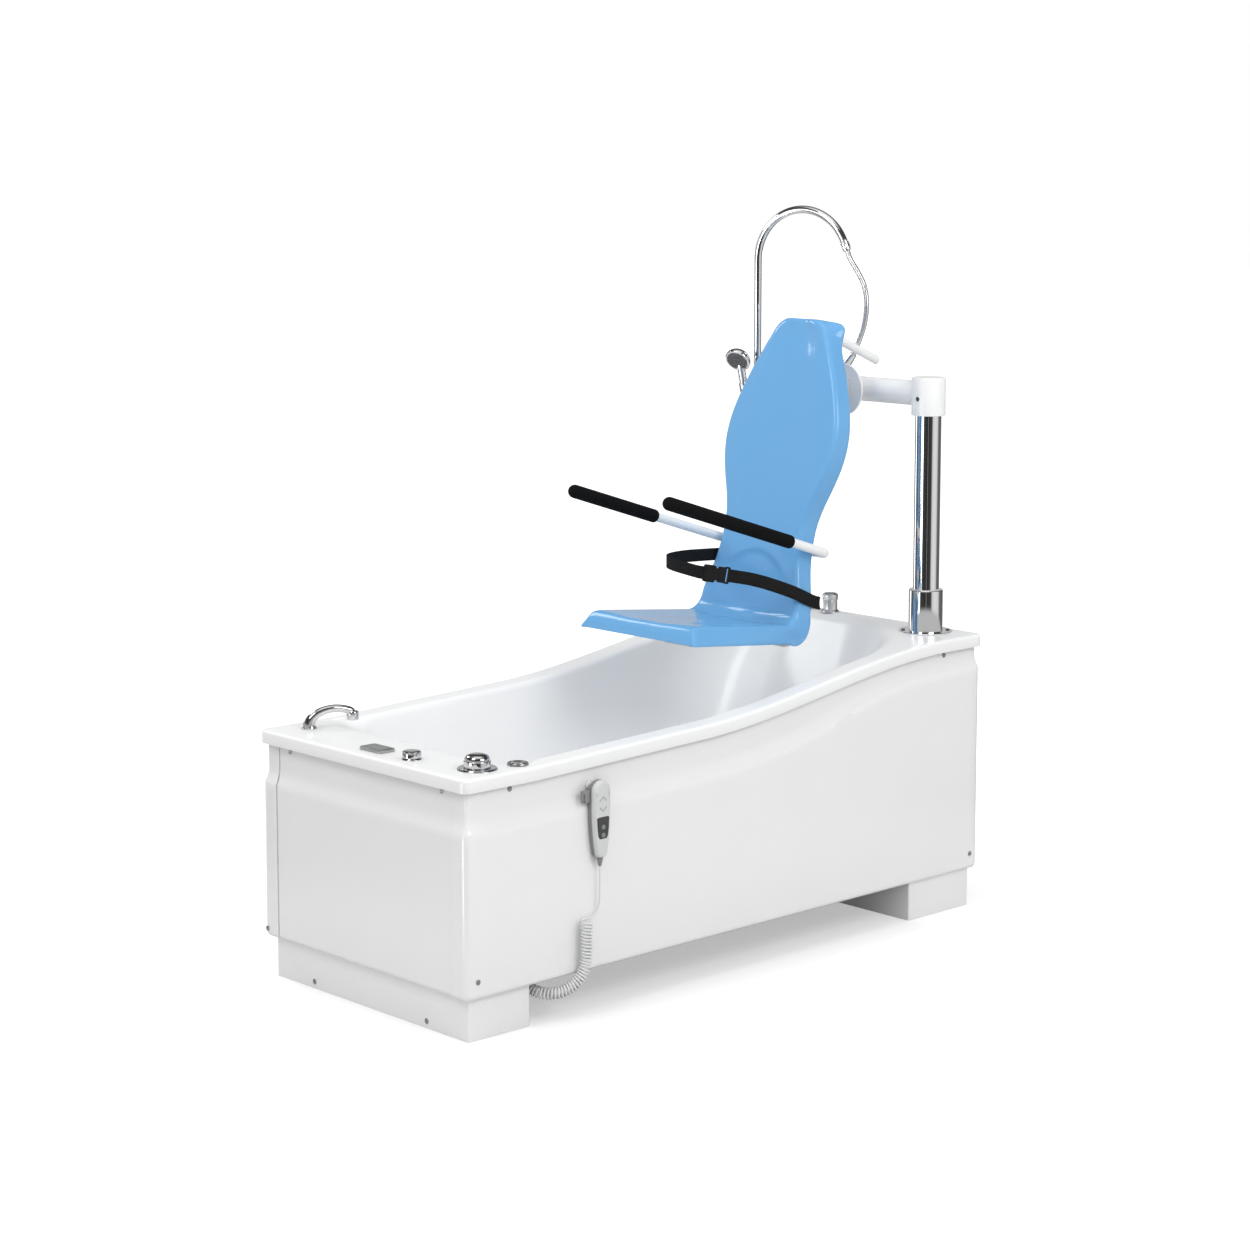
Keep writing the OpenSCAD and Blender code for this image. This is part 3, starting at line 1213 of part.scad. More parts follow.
bath_shell();
front_panel();
back_panel();
foot_panel();
head_panel();
foot_plinth();
head_plinth();
panel_screws();
underframe();
levelling_feet();
waste_outlet();
waste_trap();
waste_plug();
bath_spout();
display_panel();
diverter_base();
diverter_knob();
mixer_plate();
mixer_knob();
button_ring();
push_button();
mixing_valve();
inlet_base();
inlet_knob();
column_collar();
collar_screws();
column_housing();
guide_bushes();
lift_actuator();
control_box();
lift_tube();
actuator_rod();
column_cap();
cap_screw();
support_arm();
hub_disc();
seat_bracket();
seat_shell();
push_handle();
armrest_front();
armrest_back();
grip_front();
grip_back();
lap_belt();
buckle_plug();
buckle_socket();
shower_riser();
hose_union();
shower_hose();
hose_cone();
shower_handset();
handset_holder();
control_hook();
control_casing();
raise_key();
lower_key();
cord_relief();
control_cord();
curly_cord();
cord_gland();
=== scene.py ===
import json
import math
import bmesh
import bpy
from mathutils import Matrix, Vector

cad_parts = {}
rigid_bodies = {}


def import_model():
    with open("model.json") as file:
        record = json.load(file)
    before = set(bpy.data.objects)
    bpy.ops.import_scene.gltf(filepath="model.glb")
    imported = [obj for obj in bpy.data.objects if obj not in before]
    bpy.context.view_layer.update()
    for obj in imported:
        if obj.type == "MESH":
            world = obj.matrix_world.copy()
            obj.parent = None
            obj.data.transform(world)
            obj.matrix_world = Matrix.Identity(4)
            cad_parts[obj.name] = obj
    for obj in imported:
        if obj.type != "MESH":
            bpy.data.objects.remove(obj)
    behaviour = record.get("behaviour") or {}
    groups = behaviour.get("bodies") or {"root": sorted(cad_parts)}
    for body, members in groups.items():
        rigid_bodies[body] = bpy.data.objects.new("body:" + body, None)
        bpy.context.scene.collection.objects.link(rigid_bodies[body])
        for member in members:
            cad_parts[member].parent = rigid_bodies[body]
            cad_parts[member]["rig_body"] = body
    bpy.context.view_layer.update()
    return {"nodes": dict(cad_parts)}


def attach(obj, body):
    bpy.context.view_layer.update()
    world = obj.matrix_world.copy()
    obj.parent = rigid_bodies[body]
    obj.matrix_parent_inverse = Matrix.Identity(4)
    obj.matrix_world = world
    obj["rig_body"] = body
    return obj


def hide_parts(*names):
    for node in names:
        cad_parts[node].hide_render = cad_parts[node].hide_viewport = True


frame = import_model()

# Studio: the bath stands on a pale floor that fades into a white backdrop. Four soft lamps, beyond
# the foot, at the near side, over the far side and overhead, light it with an even sky. Gloss sees
# a sky of upright light and dark bands instead, so that the chrome has something to mirror.
PHOTO_SIDE = 1250
FOCAL = 2822.5
HORIZON_SHIFT = -0.08
VIEW_YAW = 46.822
VIEW_PITCH = 7.639
SENSOR = 36


def placed(name, data):
    """An object of that name, in the scene."""
    made = bpy.data.objects.new(name, data)
    bpy.context.scene.collection.objects.link(made)
    return made


view_camera = placed("view_camera", bpy.data.cameras.new("view_camera"))
view_camera.data.sensor_width = SENSOR
view_camera.data.lens = SENSOR * FOCAL / PHOTO_SIDE
view_camera.data.shift_y = HORIZON_SHIFT
view_camera.data.clip_end = 100
view_camera.location = (-5.5389, -5.8513, 2.3046)
view_camera.rotation_euler = (math.radians(90 - VIEW_PITCH), 0, math.radians(VIEW_YAW - 90))
bpy.context.scene.camera = view_camera
bpy.context.scene.view_settings.view_transform = "Standard"


def wire(tree, *runs):
    """Joins nodes: each run says from which node and output to which node and input."""
    for giver, output, taker, entry in runs:
        tree.links.new(giver.outputs[output], taker.inputs[entry])


def node(tree, kind, levels=(), **values):
    """A new node with its settings, and then the levels of its inputs."""
    made = tree.nodes.new(kind)
    for key, value in values.items():
        setattr(made, key, value)
    for key, value in dict(levels).items():
        made.inputs[key].default_value = value
    return made


SKY_LEVEL, BAND_TOP = 0.84, 0.08
sky = bpy.data.worlds.new("studio_sky")
bpy.context.scene.world = sky
sky.use_nodes = True
sky_tree = sky.node_tree
sky_tree.nodes.clear()
sky_out = node(sky_tree, "ShaderNodeOutputWorld")
sky_path = node(sky_tree, "ShaderNodeLightPath")
sky_even = node(sky_tree, "ShaderNodeBackground", {"Color": (1, 0.998, 0.99, 1), "Strength": SKY_LEVEL})
sky_seen = node(sky_tree, "ShaderNodeBackground", {"Color": (1, 1, 1, 1), "Strength": 1})
sky_gloss = node(sky_tree, "ShaderNodeBackground")
sky_place = node(sky_tree, "ShaderNodeTexCoord")
sky_split = node(sky_tree, "ShaderNodeSeparateXYZ")
sky_turn = node(sky_tree, "ShaderNodeMath", operation="ARCTAN2")
sky_share = node(sky_tree, "ShaderNodeMapRange", {"From Min": -math.pi, "From Max": math.pi})
sky_bands = node(sky_tree, "ShaderNodeValToRGB")
wire(sky_tree, (sky_place, "Generated", sky_split, 0), (sky_split, "Y", sky_turn, 0),
     (sky_split, "X", sky_turn, 1), (sky_turn, 0, sky_share, "Value"),
     (sky_share, "Result", sky_bands, "Fac"))


def set_stops(ramp_node, stops):
    ramp = ramp_node.color_ramp
    while len(ramp.elements) < len(stops):
        ramp.elements.new(0.5)
    for element, (place, level) in zip(ramp.elements, stops):
        element.position = place
        element.color = (level, level, level, 1)


# Share of the way round the sky, from the foot end by way of the front, and how bright gloss sees it
SKY_STOPS = ((0.00, 0.90), (0.008, 0.10), (0.02, 0.05), (0.09, 0.03), (0.115, 0.03), (0.118, 0.60),
             (0.122, 0.03), (0.205, 0.05), (0.24, 0.70), (0.30, 0.80), (0.36, 0.70), (0.40, 0.16),
             (0.50, 0.10), (0.56, 0.46), (0.69, 0.46), (0.74, 0.08), (0.757, 0.08), (0.762, 2.5),
             (0.785, 2.5), (0.79, 0.08), (0.84, 0.10), (0.865, 0.34), (0.92, 0.34), (0.935, 0.08),
             (0.952, 0.08), (0.960, 7.0), (0.985, 7.0), (1.00, 0.90))
set_stops(sky_bands, SKY_STOPS)
# The same by height, from the horizon to straight up: a pale ceiling with a dark ring above it
HIGH_STOPS = ((0.00, 0.52), (0.26, 0.52), (0.40, 0.06), (0.75, 0.05), (0.90, 0.35), (1.00, 0.40))
sky_high = node(sky_tree, "ShaderNodeValToRGB")
set_stops(sky_high, HIGH_STOPS)
sky_up = node(sky_tree, "ShaderNodeMapRange", {"From Min": 0.0, "From Max": BAND_TOP},
              interpolation_type="SMOOTHSTEP")
sky_blend = node(sky_tree, "ShaderNodeMix", data_type="RGBA")
wire(sky_tree, (sky_split, "Z", sky_high, "Fac"), (sky_high, "Color", sky_blend, "B"),
     (sky_split, "Z", sky_up, "Value"), (sky_up, "Result", sky_blend, "Factor"),
     (sky_bands, "Color", sky_blend, "A"), (sky_blend, "Result", sky_gloss, "Color"))
sky_mix_gloss = node(sky_tree, "ShaderNodeMixShader")
sky_mix_seen = node(sky_tree, "ShaderNodeMixShader")
wire(sky_tree, (sky_path, "Is Glossy Ray", sky_mix_gloss, 0), (sky_even, 0, sky_mix_gloss, 1),
     (sky_gloss, 0, sky_mix_gloss, 2), (sky_path, "Is Camera Ray", sky_mix_seen, 0),
     (sky_mix_gloss, 0, sky_mix_seen, 1), (sky_seen, 0, sky_mix_seen, 2),
     (sky_mix_seen, 0, sky_out, "Surface"))


def soft_lamp(name, place, aim, size, power):
    lamp = placed(name, bpy.data.lights.new(name, "AREA"))
    lamp.data.shape = "RECTANGLE"
    lamp.data.size, lamp.data.size_y = size
    lamp.data.energy = power
    lamp.location = place
    lamp.rotation_euler = (Vector(aim) - Vector(place)).to_track_quat("-Z", "Y").to_euler()


soft_lamp("foot_lamp", (-4.2, -0.6, 5.0), (0.1, 0, 0.7), (2.0, 2.0), 68)
soft_lamp("front_lamp", (0.3, -5.2, 4.2), (0.1, 0, 0.7), (3.0, 2.0), 102)
soft_lamp("box_lamp", (-1.1, 3.6, 3.7), (0.4, 0, 1.1), (1.3, 1.1), 30)
soft_lamp("top_lamp", (-0.6, -0.6, 5.4), (0, 0, 0.6), (3.6, 3.0), 22)

FLOOR_HALF = 40
FADE_FROM, FADE_TO, FLOOR_LIFT, FAR_LIFT = 0.9, 3.2, 0.42, 0.75
MIRROR_FROM, MIRROR_TO = 1.5, 2.6
floor_mesh = bpy.data.meshes.new("studio_floor")
floor_corners = ((-1, -1), (1, -1), (1, 1), (-1, 1))
floor_mesh.from_pydata([(x * FLOOR_HALF, y * FLOOR_HALF, 0) for x, y in floor_corners], [], [(0, 1, 2, 3)])
studio_floor = placed("studio_floor", floor_mesh)
floor_paint = bpy.data.materials.new("floor_paint")
floor_paint.use_nodes = True
floor_tree = floor_paint.node_tree
floor_tree.nodes.clear()
floor_out = node(floor_tree, "ShaderNodeOutputMaterial")
floor_path = node(floor_tree, "ShaderNodeLightPath")
floor_matt = node(floor_tree, "ShaderNodeBsdfDiffuse", {"Color": (0.62, 0.62, 0.62, 1)})
floor_lift = node(floor_tree, "ShaderNodeEmission", {"Color": (1, 1, 1, 1)})
floor_place = node(floor_tree, "ShaderNodeTexCoord")
floor_away = node(floor_tree, "ShaderNodeVectorMath", operation="LENGTH")
floor_fade = node(floor_tree, "ShaderNodeMapRange", {"From Min": FADE_FROM, "From Max": FADE_TO,
                                                     "To Min": FLOOR_LIFT, "To Max": FAR_LIFT},
                  interpolation_type="SMOOTHSTEP")
wire(floor_tree, (floor_place, "Object", floor_away, 0), (floor_away, "Value", floor_fade, "Value"),
     (floor_fade, "Result", floor_lift, "Strength"))
floor_add = node(floor_tree, "ShaderNodeAddShader")
floor_mix = node(floor_tree, "ShaderNodeMixShader")
floor_clear = node(floor_tree, "ShaderNodeBsdfTransparent")
floor_edge = node(floor_tree, "ShaderNodeMapRange", {"From Min": MIRROR_FROM, "From Max": MIRROR_TO},
                  interpolation_type="SMOOTHSTEP")
floor_gone = node(floor_tree, "ShaderNodeMath", operation="MULTIPLY")
floor_last = node(floor_tree, "ShaderNodeMixShader")
wire(floor_tree, (floor_matt, 0, floor_add, 0), (floor_lift, 0, floor_add, 1),
     (floor_path, "Is Camera Ray", floor_mix, 0), (floor_matt, 0, floor_mix, 1),
     (floor_add, 0, floor_mix, 2), (floor_away, "Value", floor_edge, "Value"),
     (floor_edge, "Result", floor_gone, 0), (floor_path, "Is Glossy Ray", floor_gone, 1),
     (floor_gone, 0, floor_last, 0), (floor_mix, 0, floor_last, 1), (floor_clear, 0, floor_last, 2),
     (floor_last, 0, floor_out, "Surface"))
floor_mesh.materials.append(floor_paint)

# Hand control's cord: a grey-white lead that drops from the control, then a curly stretch
# that dips under the front panel and up into the gland of the control box.
# One unbroken moulded plastic tube, swept along its own middle line.
MM = 0.001


def curve_at(a, b, c, d, t):
    return 0.5 * (2 * b + (c - a) * t + (2 * a - 5 * b + 4 * c - d) * t * t
                  + (3 * b - a - 3 * c + d) * t ** 3)


def smooth_path(points, steps):
    p = [Vector(q) for q in points]
    last = len(p) - 1
    made = []
    for i in range(last):
        a, b, c, d = p[max(i - 1, 0)], p[i], p[i + 1], p[min(i + 2, last)]
        made += [curve_at(a, b, c, d, j / steps) for j in range(steps)]
    return made + [p[last]]


def run_length(points):
    return sum((b - a).length for a, b in zip(points, points[1:]))


def carried(points, start):
    """Directions across a path that turn with it and never twist."""
    found, u = [], Vector(start)
    for i in range(len(points)):
        along = (points[min(i + 1, len(points) - 1)] - points[max(i - 1, 0)]).normalized()
        u = (u - u.dot(along) * along).normalized()
        found.append((along, u, along.cross(u)))
    return found


def clamp01(t):
    return min(1, max(0, t))


def smooth(t):
    t = clamp01(t)
    return t * t * (3 - 2 * t)


def moulded(name, colour, rough, grain, dimple, vary=0.04, coat=0.0, metal=0.0,
            coat_rough=0.12, shine=0.5):
    """A finish with a fine-grained surface: small changes of shade, gloss and height over the piece."""
    made = bpy.data.materials.new(name)
    made.use_nodes = True
    tree = made.node_tree
    shader = tree.nodes["Principled BSDF"]
    place = node(tree, "ShaderNodeTexCoord")
    fine = node(tree, "ShaderNodeTexNoise", {"Scale": grain, "Detail": 3})
    broad = node(tree, "ShaderNodeTexNoise", {"Scale": 6, "Detail": 4})
    shade = node(tree, "ShaderNodeMix", {"A": tuple(c * (1 - vary) for c in colour) + (1,),
                                         "B": tuple(min(1, c * (1 + vary)) for c in colour) + (1,)},
                 data_type="RGBA")
    gloss = node(tree, "ShaderNodeMapRange", {"To Min": rough * 0.85, "To Max": rough * 1.2})
    bump = node(tree, "ShaderNodeBump", {"Distance": dimple, "Strength": 0.6})
    wire(tree, (place, "Object", fine, "Vector"), (place, "Object", broad, "Vector"),
         (broad, "Fac", shade, "Factor"), (broad, "Fac", gloss, "Value"), (fine, "Fac", bump, "Height"),
         (shade, "Result", shader, "Base Color"), (gloss, "Result", shader, "Roughness"),
         (bump, "Normal", shader, "Normal"))
    shader.inputs["Metallic"].default_value = metal
    shader.inputs["Coat Weight"].default_value = coat
    shader.inputs["Coat Roughness"].default_value = coat_rough
    shader.inputs["Specular IOR Level"].default_value = shine
    return made


def tree_with(name, result, **given):
    """An empty geometry tree with its inputs by name and kind, and one output."""
    tree = bpy.data.node_groups.new(name, "GeometryNodeTree")
    for title, kind in given.items():
        tree.interface.new_socket(title, in_out="INPUT", socket_type="NodeSocket" + kind)
    tree.interface.new_socket(result, in_out="OUTPUT", socket_type="NodeSocketGeometry")
    return tree


def path_tree():
    """Tube along a path: a round section runs along the line of a mesh, and its ends are closed."""
    tree = tree_with("tube_along_path", "Tube", Path="Geometry", Radius="Float", Sides="Int",
                     Finish="Material")
    given, result = node(tree, "NodeGroupInput"), node(tree, "NodeGroupOutput")
    to_curve = node(tree, "GeometryNodeMeshToCurve")
    ring = node(tree, "GeometryNodeCurvePrimitiveCircle")
    measure = node(tree, "GeometryNodeSplineParameter")
    keep = node(tree, "GeometryNodeStoreNamedAttribute", {"Name": "run"}, data_type="FLOAT", domain="POINT")
    sweep = node(tree, "GeometryNodeCurveToMesh", {"Fill Caps": True})
    real = node(tree, "GeometryNodeRealizeInstances")
    paint = node(tree, "GeometryNodeSetMaterial")
    wire(tree, (given, "Path", to_curve, "Mesh"), (to_curve, "Curve", keep, "Geometry"),
         (measure, "Length", keep, "Value"), (keep, "Geometry", sweep, "Curve"),
         (given, "Radius", ring, "Radius"), (given, "Sides", ring, "Resolution"),
         (ring, "Curve", sweep, "Profile Curve"), (sweep, "Mesh", real, "Geometry"),
         (real, "Geometry", paint, "Geometry"), (given, "Finish", paint, "Material"),
         (paint, "Geometry", result, "Tube"))
    return tree


TUBE_TREE = path_tree()
TUBE_CREASE = 50


def smoothed(mesh, crease):
    """Smooth but for the edges sharper than an angle in degrees."""
    mesh.shade_smooth()
    mesh.set_sharp_from_angle(angle=math.radians(crease))


def baked(obj, crease):
    """What an object's modifiers make of it, as its own plain mesh."""
    depsgraph = bpy.context.evaluated_depsgraph_get()
    mesh = bpy.data.meshes.new_from_object(obj.evaluated_get(depsgraph))
    obj.modifiers.clear()
    obj.data = mesh
    smoothed(mesh, crease)


def grown(obj, tree, crease, **values):
    """What a geometry tree makes of an object with these inputs, as its own plain mesh."""
    modifier = obj.modifiers.new("tree", "NODES")
    modifier.node_group = tree
    sockets = {s.name: s.identifier for s in tree.interface.items_tree if s.in_out == "INPUT"}
    for title, value in values.items():
        modifier[sockets[title]] = value
    baked(obj, crease)


def path_tube(name, points, diameter, finish, sides):
    line = bpy.data.meshes.new(name)
    line.from_pydata([tuple(p) for p in points], [(i, i + 1) for i in range(len(points) - 1)], [])
    tube = placed(name, line)
    grown(tube, TUBE_TREE, TUBE_CREASE, Radius=diameter / 2, Sides=sides, Finish=finish)
    turned_out(tube.data)
    return tube


def turned_out(mesh):
    """Faces of a closed mesh point outwards."""
    work = bmesh.new()
    work.from_mesh(mesh)
    bmesh.ops.recalc_face_normals(work, faces=work.faces)
    work.to_mesh(mesh)
    work.free()


CORD_D = 0.0054
CURL_R = (0.034 - CORD_D) / 2
CURLS = 43
CURL_SIDES = 16
LEAD_POINTS = [(-0.567, -0.455, 0.404), (-0.567, -0.456, 0.370), (-0.567, -0.455, 0.335),
               (-0.567, -0.453, 0.308), (-0.569, -0.451, 0.292), (-0.573, -0.4495, 0.281),
               (-0.580, -0.449, 0.273), (-0.589, -0.449, 0.268), (-0.599, -0.449, 0.266),
               (-0.608, -0.449, 0.266)]
CURL_LINE = [(-0.622, -0.4633, 0.265), (-0.622, -0.463, 0.236), (-0.623, -0.463, 0.203),
             (-0.624, -0.463, 0.168), (-0.628, -0.462, 0.138), (-0.640, -0.457, 0.112),
             (-0.661, -0.449, 0.092), (-0.689, -0.437, 0.079), (-0.716, -0.420, 0.076),
             (-0.736, -0.398, 0.079), (-0.748, -0.372, 0.087), (-0.752, -0.350, 0.101),
             (-0.752, -0.338, 0.118), (-0.752, -0.334, 0.134), (-0.752, -0.334, 0.147)]
curl_middle = smooth_path(CURL_LINE, 4)
curl_across = [u for _, u, _ in carried(curl_middle, (0, 1, 0))]
curl_runs = [run_length(curl_middle[:i + 1]) for i in range(len(curl_middle))]


def between(values, s):
    """Value at a running length along the curls' middle line."""
    for i in range(len(curl_runs) - 1):
        if s <= curl_runs[i + 1]:
            share = (s - curl_runs[i]) / (curl_runs[i + 1] - curl_runs[i])
            return values[i].lerp(values[i + 1], share)
    return values[-1]


def curl_point(k):
    total, count = curl_runs[-1], CURLS * CURL_SIDES
    s = total * k / count
    turn = math.radians(90 + 360 * k / CURL_SIDES)
    ahead, behind = between(curl_middle, min(s + 0.004, total)), between(curl_middle, max(s - 0.004, 0))
    along = (ahead - behind).normalized()
    u = between(curl_across, s)
    u = (u - u.dot(along) * along).normalized()
    r = CURL_R * smooth((count - k) / CURL_SIDES)
    return between(curl_middle, s) + r * (math.sin(turn) * u + math.cos(turn) * along.cross(u))


cord_plastic = moulded("cord_plastic", (0.74, 0.745, 0.75), 0.38, grain=900, dimple=0.00001)
cord_start = [Vector(p) for p in LEAD_POINTS]
cord_line = (smooth_path(cord_start, 4) + [cord_start[-1] - Vector((CORD_D + 0.001, 0, 0))]
             + [curl_point(k) for k in range(CURLS * CURL_SIDES + 1)]
             + [Vector(CURL_LINE[-1]) + Vector((0, 0, CORD_D + 0.001))])
control_lead = path_tube("control_lead", cord_line, CORD_D, cord_plastic, sides=10)
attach(control_lead, "bath")
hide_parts("control_cord", "curly_cord")

# Shower hose: a chromed metal hose of close-wound strip that hangs from the union on the
# gooseneck, through a small cone, and sweeps round behind the seat into the handset.
# The winding is a fine ridge that follows the hose's own length.
HOSE_D = 0.016
HOSE_POINTS = [(0.9672, 0.0762, 1.9842), (0.970, 0.064, 1.956), (0.974, 0.038, 1.920),
               (0.9775, 0.014, 1.878), (0.979, 0.004, 1.824), (0.978, 0.012, 1.760), (0.975, 0.031, 1.707),
               (0.971, 0.050, 1.665), (0.967, 0.072, 1.636), (0.958, 0.105, 1.600), (0.948, 0.150, 1.558),
               (0.936, 0.200, 1.515), (0.926, 0.254, 1.478), (0.917, 0.306, 1.454), (0.915, 0.350, 1.444),
               (0.914, 0.388, 1.443), (0.904, 0.416, 1.450), (0.890, 0.427, 1.464), (0.886, 0.427, 1.482)]


def polished(name, level=0.86, rough=0.07):
    """Polished plate, with faint smears in the gloss."""
    return moulded(name, (level, level, level * 1.01), rough, grain=60, dimple=0.000004, vary=0.02,
                   metal=1.0)


def ribbed(finish, source, output, pitch, height, strength):
    """Even ridges on a finish, one to every pitch of what a node gives."""
    tree = finish.node_tree
    wave = node(tree, "ShaderNodeMath", {1: 2 * math.pi / pitch}, operation="MULTIPLY")
    crest = node(tree, "ShaderNodeMath", operation="SINE")
    bump = node(tree, "ShaderNodeBump", {"Distance": height, "Strength": strength})
    wire(tree, (source, output, wave, 0), (wave, 0, crest, 0), (crest, 0, bump, "Height"),
         (bump, "Normal", tree.nodes["Principled BSDF"], "Normal"))


chrome = polished("chrome")
hose_metal = polished("hose_metal", level=0.8, rough=0.16)
hose_run = node(hose_metal.node_tree, "ShaderNodeAttribute", attribute_name="run")
ribbed(hose_metal, hose_run, "Fac", pitch=0.003, height=0.0004, strength=0.35)
hose_line = smooth_path(HOSE_POINTS, 6)
hose = path_tube("hose", hose_line, HOSE_D, hose_metal, sides=24)
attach(hose, "bath")
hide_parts("shower_hose")

# Bath shell: one vacuum-formed sheet of white acrylic with a turned-down lip, flat decks
# at the foot and the head, and a basin whose rim rolls over softly, most of all at the foot.
# The rim is low at the foot and sweeps up to the head. Battens under the lip take the panels' screws.
BATH_L, BATH_W = 2050, 892
HALF_L, HALF_W = BATH_L / 2, BATH_W / 2
FOOT_DECK_Z, HEAD_DECK_Z, SLOPE_RISE = 704, 842, 55
SWEEP_X, SWEEP_L = 325, 950
LIP_H, LIP_R, LIP_EDGE = 37, 26, 9
FOOT_DECK_L, SIDE_DECK_W, HEAD_DECK_L = 245, 80, 70
FLOOR_Z, FLOOR_R = 300, 70
SIDE_DRAFT, FOOT_DRAFT, HEAD_DRAFT = 81, 60, 355
SHEET_T = 6
FOOT_EDGE_X = -HALF_L + FOOT_DECK_L
HEAD_FLAT_X = HALF_L - 185
FOOT_CORNER_R, FAR_CORNER_R = 95, 150
NEAR_CORNER_A, NEAR_CORNER_B, NEAR_CORNER_N = 397, 440, 1.7
SIDE_ROLL, FOOT_ROLL, FOOT_ROLL_DEEP, HEAD_ROLL = 20, 88, 58, 26
CORNER_STEPS = 18
RUN_STEPS = (46, 16, 46, 12)
WASTE_X, WASTE_BORE = -590, 50.6
FLOOR_MID_X = WASTE_X + 200
acrylic = moulded("acrylic", (0.86, 0.865, 0.87), 0.3, grain=35, dimple=0.00003, vary=0.012, coat=0.22)


def rim_z(x):
    rise = clamp01((x - FOOT_EDGE_X) / (HEAD_FLAT_X - FOOT_EDGE_X))
    sweep = smooth((x - SWEEP_X + SWEEP_L / 2) / SWEEP_L)
    return FOOT_DECK_Z + SLOPE_RISE * rise + (HEAD_DECK_Z - FOOT_DECK_Z - SLOPE_RISE) * sweep


def quarter(cx, cy, a, b, n, start, step):
    t = math.radians(start + 90 * step)
    c, s = math.cos(t), math.sin(t)
    return (cx + a * math.copysign(abs(c) ** (2 / n), c), cy + b * math.copysign(abs(s) ** (2 / n), s))


def basin_corner(k, step, z, inset, grow):
    side = clamp01((FOOT_DECK_Z - z) / (FOOT_DECK_Z - FLOOR_Z))
    head = clamp01((HEAD_DECK_Z - z) / (HEAD_DECK_Z - FLOOR_Z))
    w = HALF_W - SIDE_DECK_W - SIDE_DRAFT * side - inset + grow
    foot = FOOT_EDGE_X + FOOT_DRAFT * side + inset - grow
    end = HALF_L - HEAD_DECK_L - HEAD_DRAFT * head - inset + grow
    near = 1 - 0.45 * head
    if k == 0:
        return quarter(end - FAR_CORNER_R, w - FAR_CORNER_R, FAR_CORNER_R, FAR_CORNER_R, 2, 0, step)
    if k == 1:
        return quarter(foot + FOOT_CORNER_R, w - FOOT_CORNER_R, FOOT_CORNER_R, FOOT_CORNER_R, 2, 90, step)
    if k == 2:
        return quarter(foot + FOOT_CORNER_R, -w + FOOT_CORNER_R, FOOT_CORNER_R, FOOT_CORNER_R, 2, 180, step)
    a, b = NEAR_CORNER_A * near, NEAR_CORNER_B * near
    return quarter(end - a, -w + b, a, b, NEAR_CORNER_N, 270, step)


def lip_corner(k, step, inset, half_l=HALF_L, half_w=HALF_W, radius=LIP_R):
    sx, sy = ((1, 1), (-1, 1), (-1, -1), (1, -1))[k]
    r = max(radius - inset, 1)
    t = math.radians(90 * k + 90 * step)
    return (sx * (half_l - inset - r) + r * math.cos(t), sy * (half_w - inset - r) + r * math.sin(t))


# Places round the shell: corner number and share of the corner, or of the straight run after it
around = []
for k in range(4):
    around += [(k, i / CORNER_STEPS, None) for i in range(CORNER_STEPS + 1)]
    around += [(k, None, i / RUN_STEPS[k]) for i in range(1, RUN_STEPS[k])]


def place_round(spot, corner):
    k, step, share = spot
    if share is None:
        return corner(k, step)
    a, b = corner(k, 1), corner((k + 1) % 4, 0)
    return (a[0] + (b[0] - a[0]) * share, a[1] + (b[1] - a[1]) * share)


def facing(spot):
    """Way that the shell's outside faces at a place round it."""
    k, step, share = spot
    t = math.radians(90 * k + 90 * (step if share is None else 1))
    return math.cos(t), math.sin(t)


def roll_sizes(spot):
    c, _ = facing(spot)
    foot, head = max(0, -c) ** 1.5, max(0, c) ** 2
    wide = SIDE_ROLL + (FOOT_ROLL - SIDE_ROLL) * foot + (HEAD_ROLL - SIDE_ROLL) * head
    deep = SIDE_ROLL + (FOOT_ROLL_DEEP - SIDE_ROLL) * foot + (HEAD_ROLL - SIDE_ROLL) * head
    return wide, deep


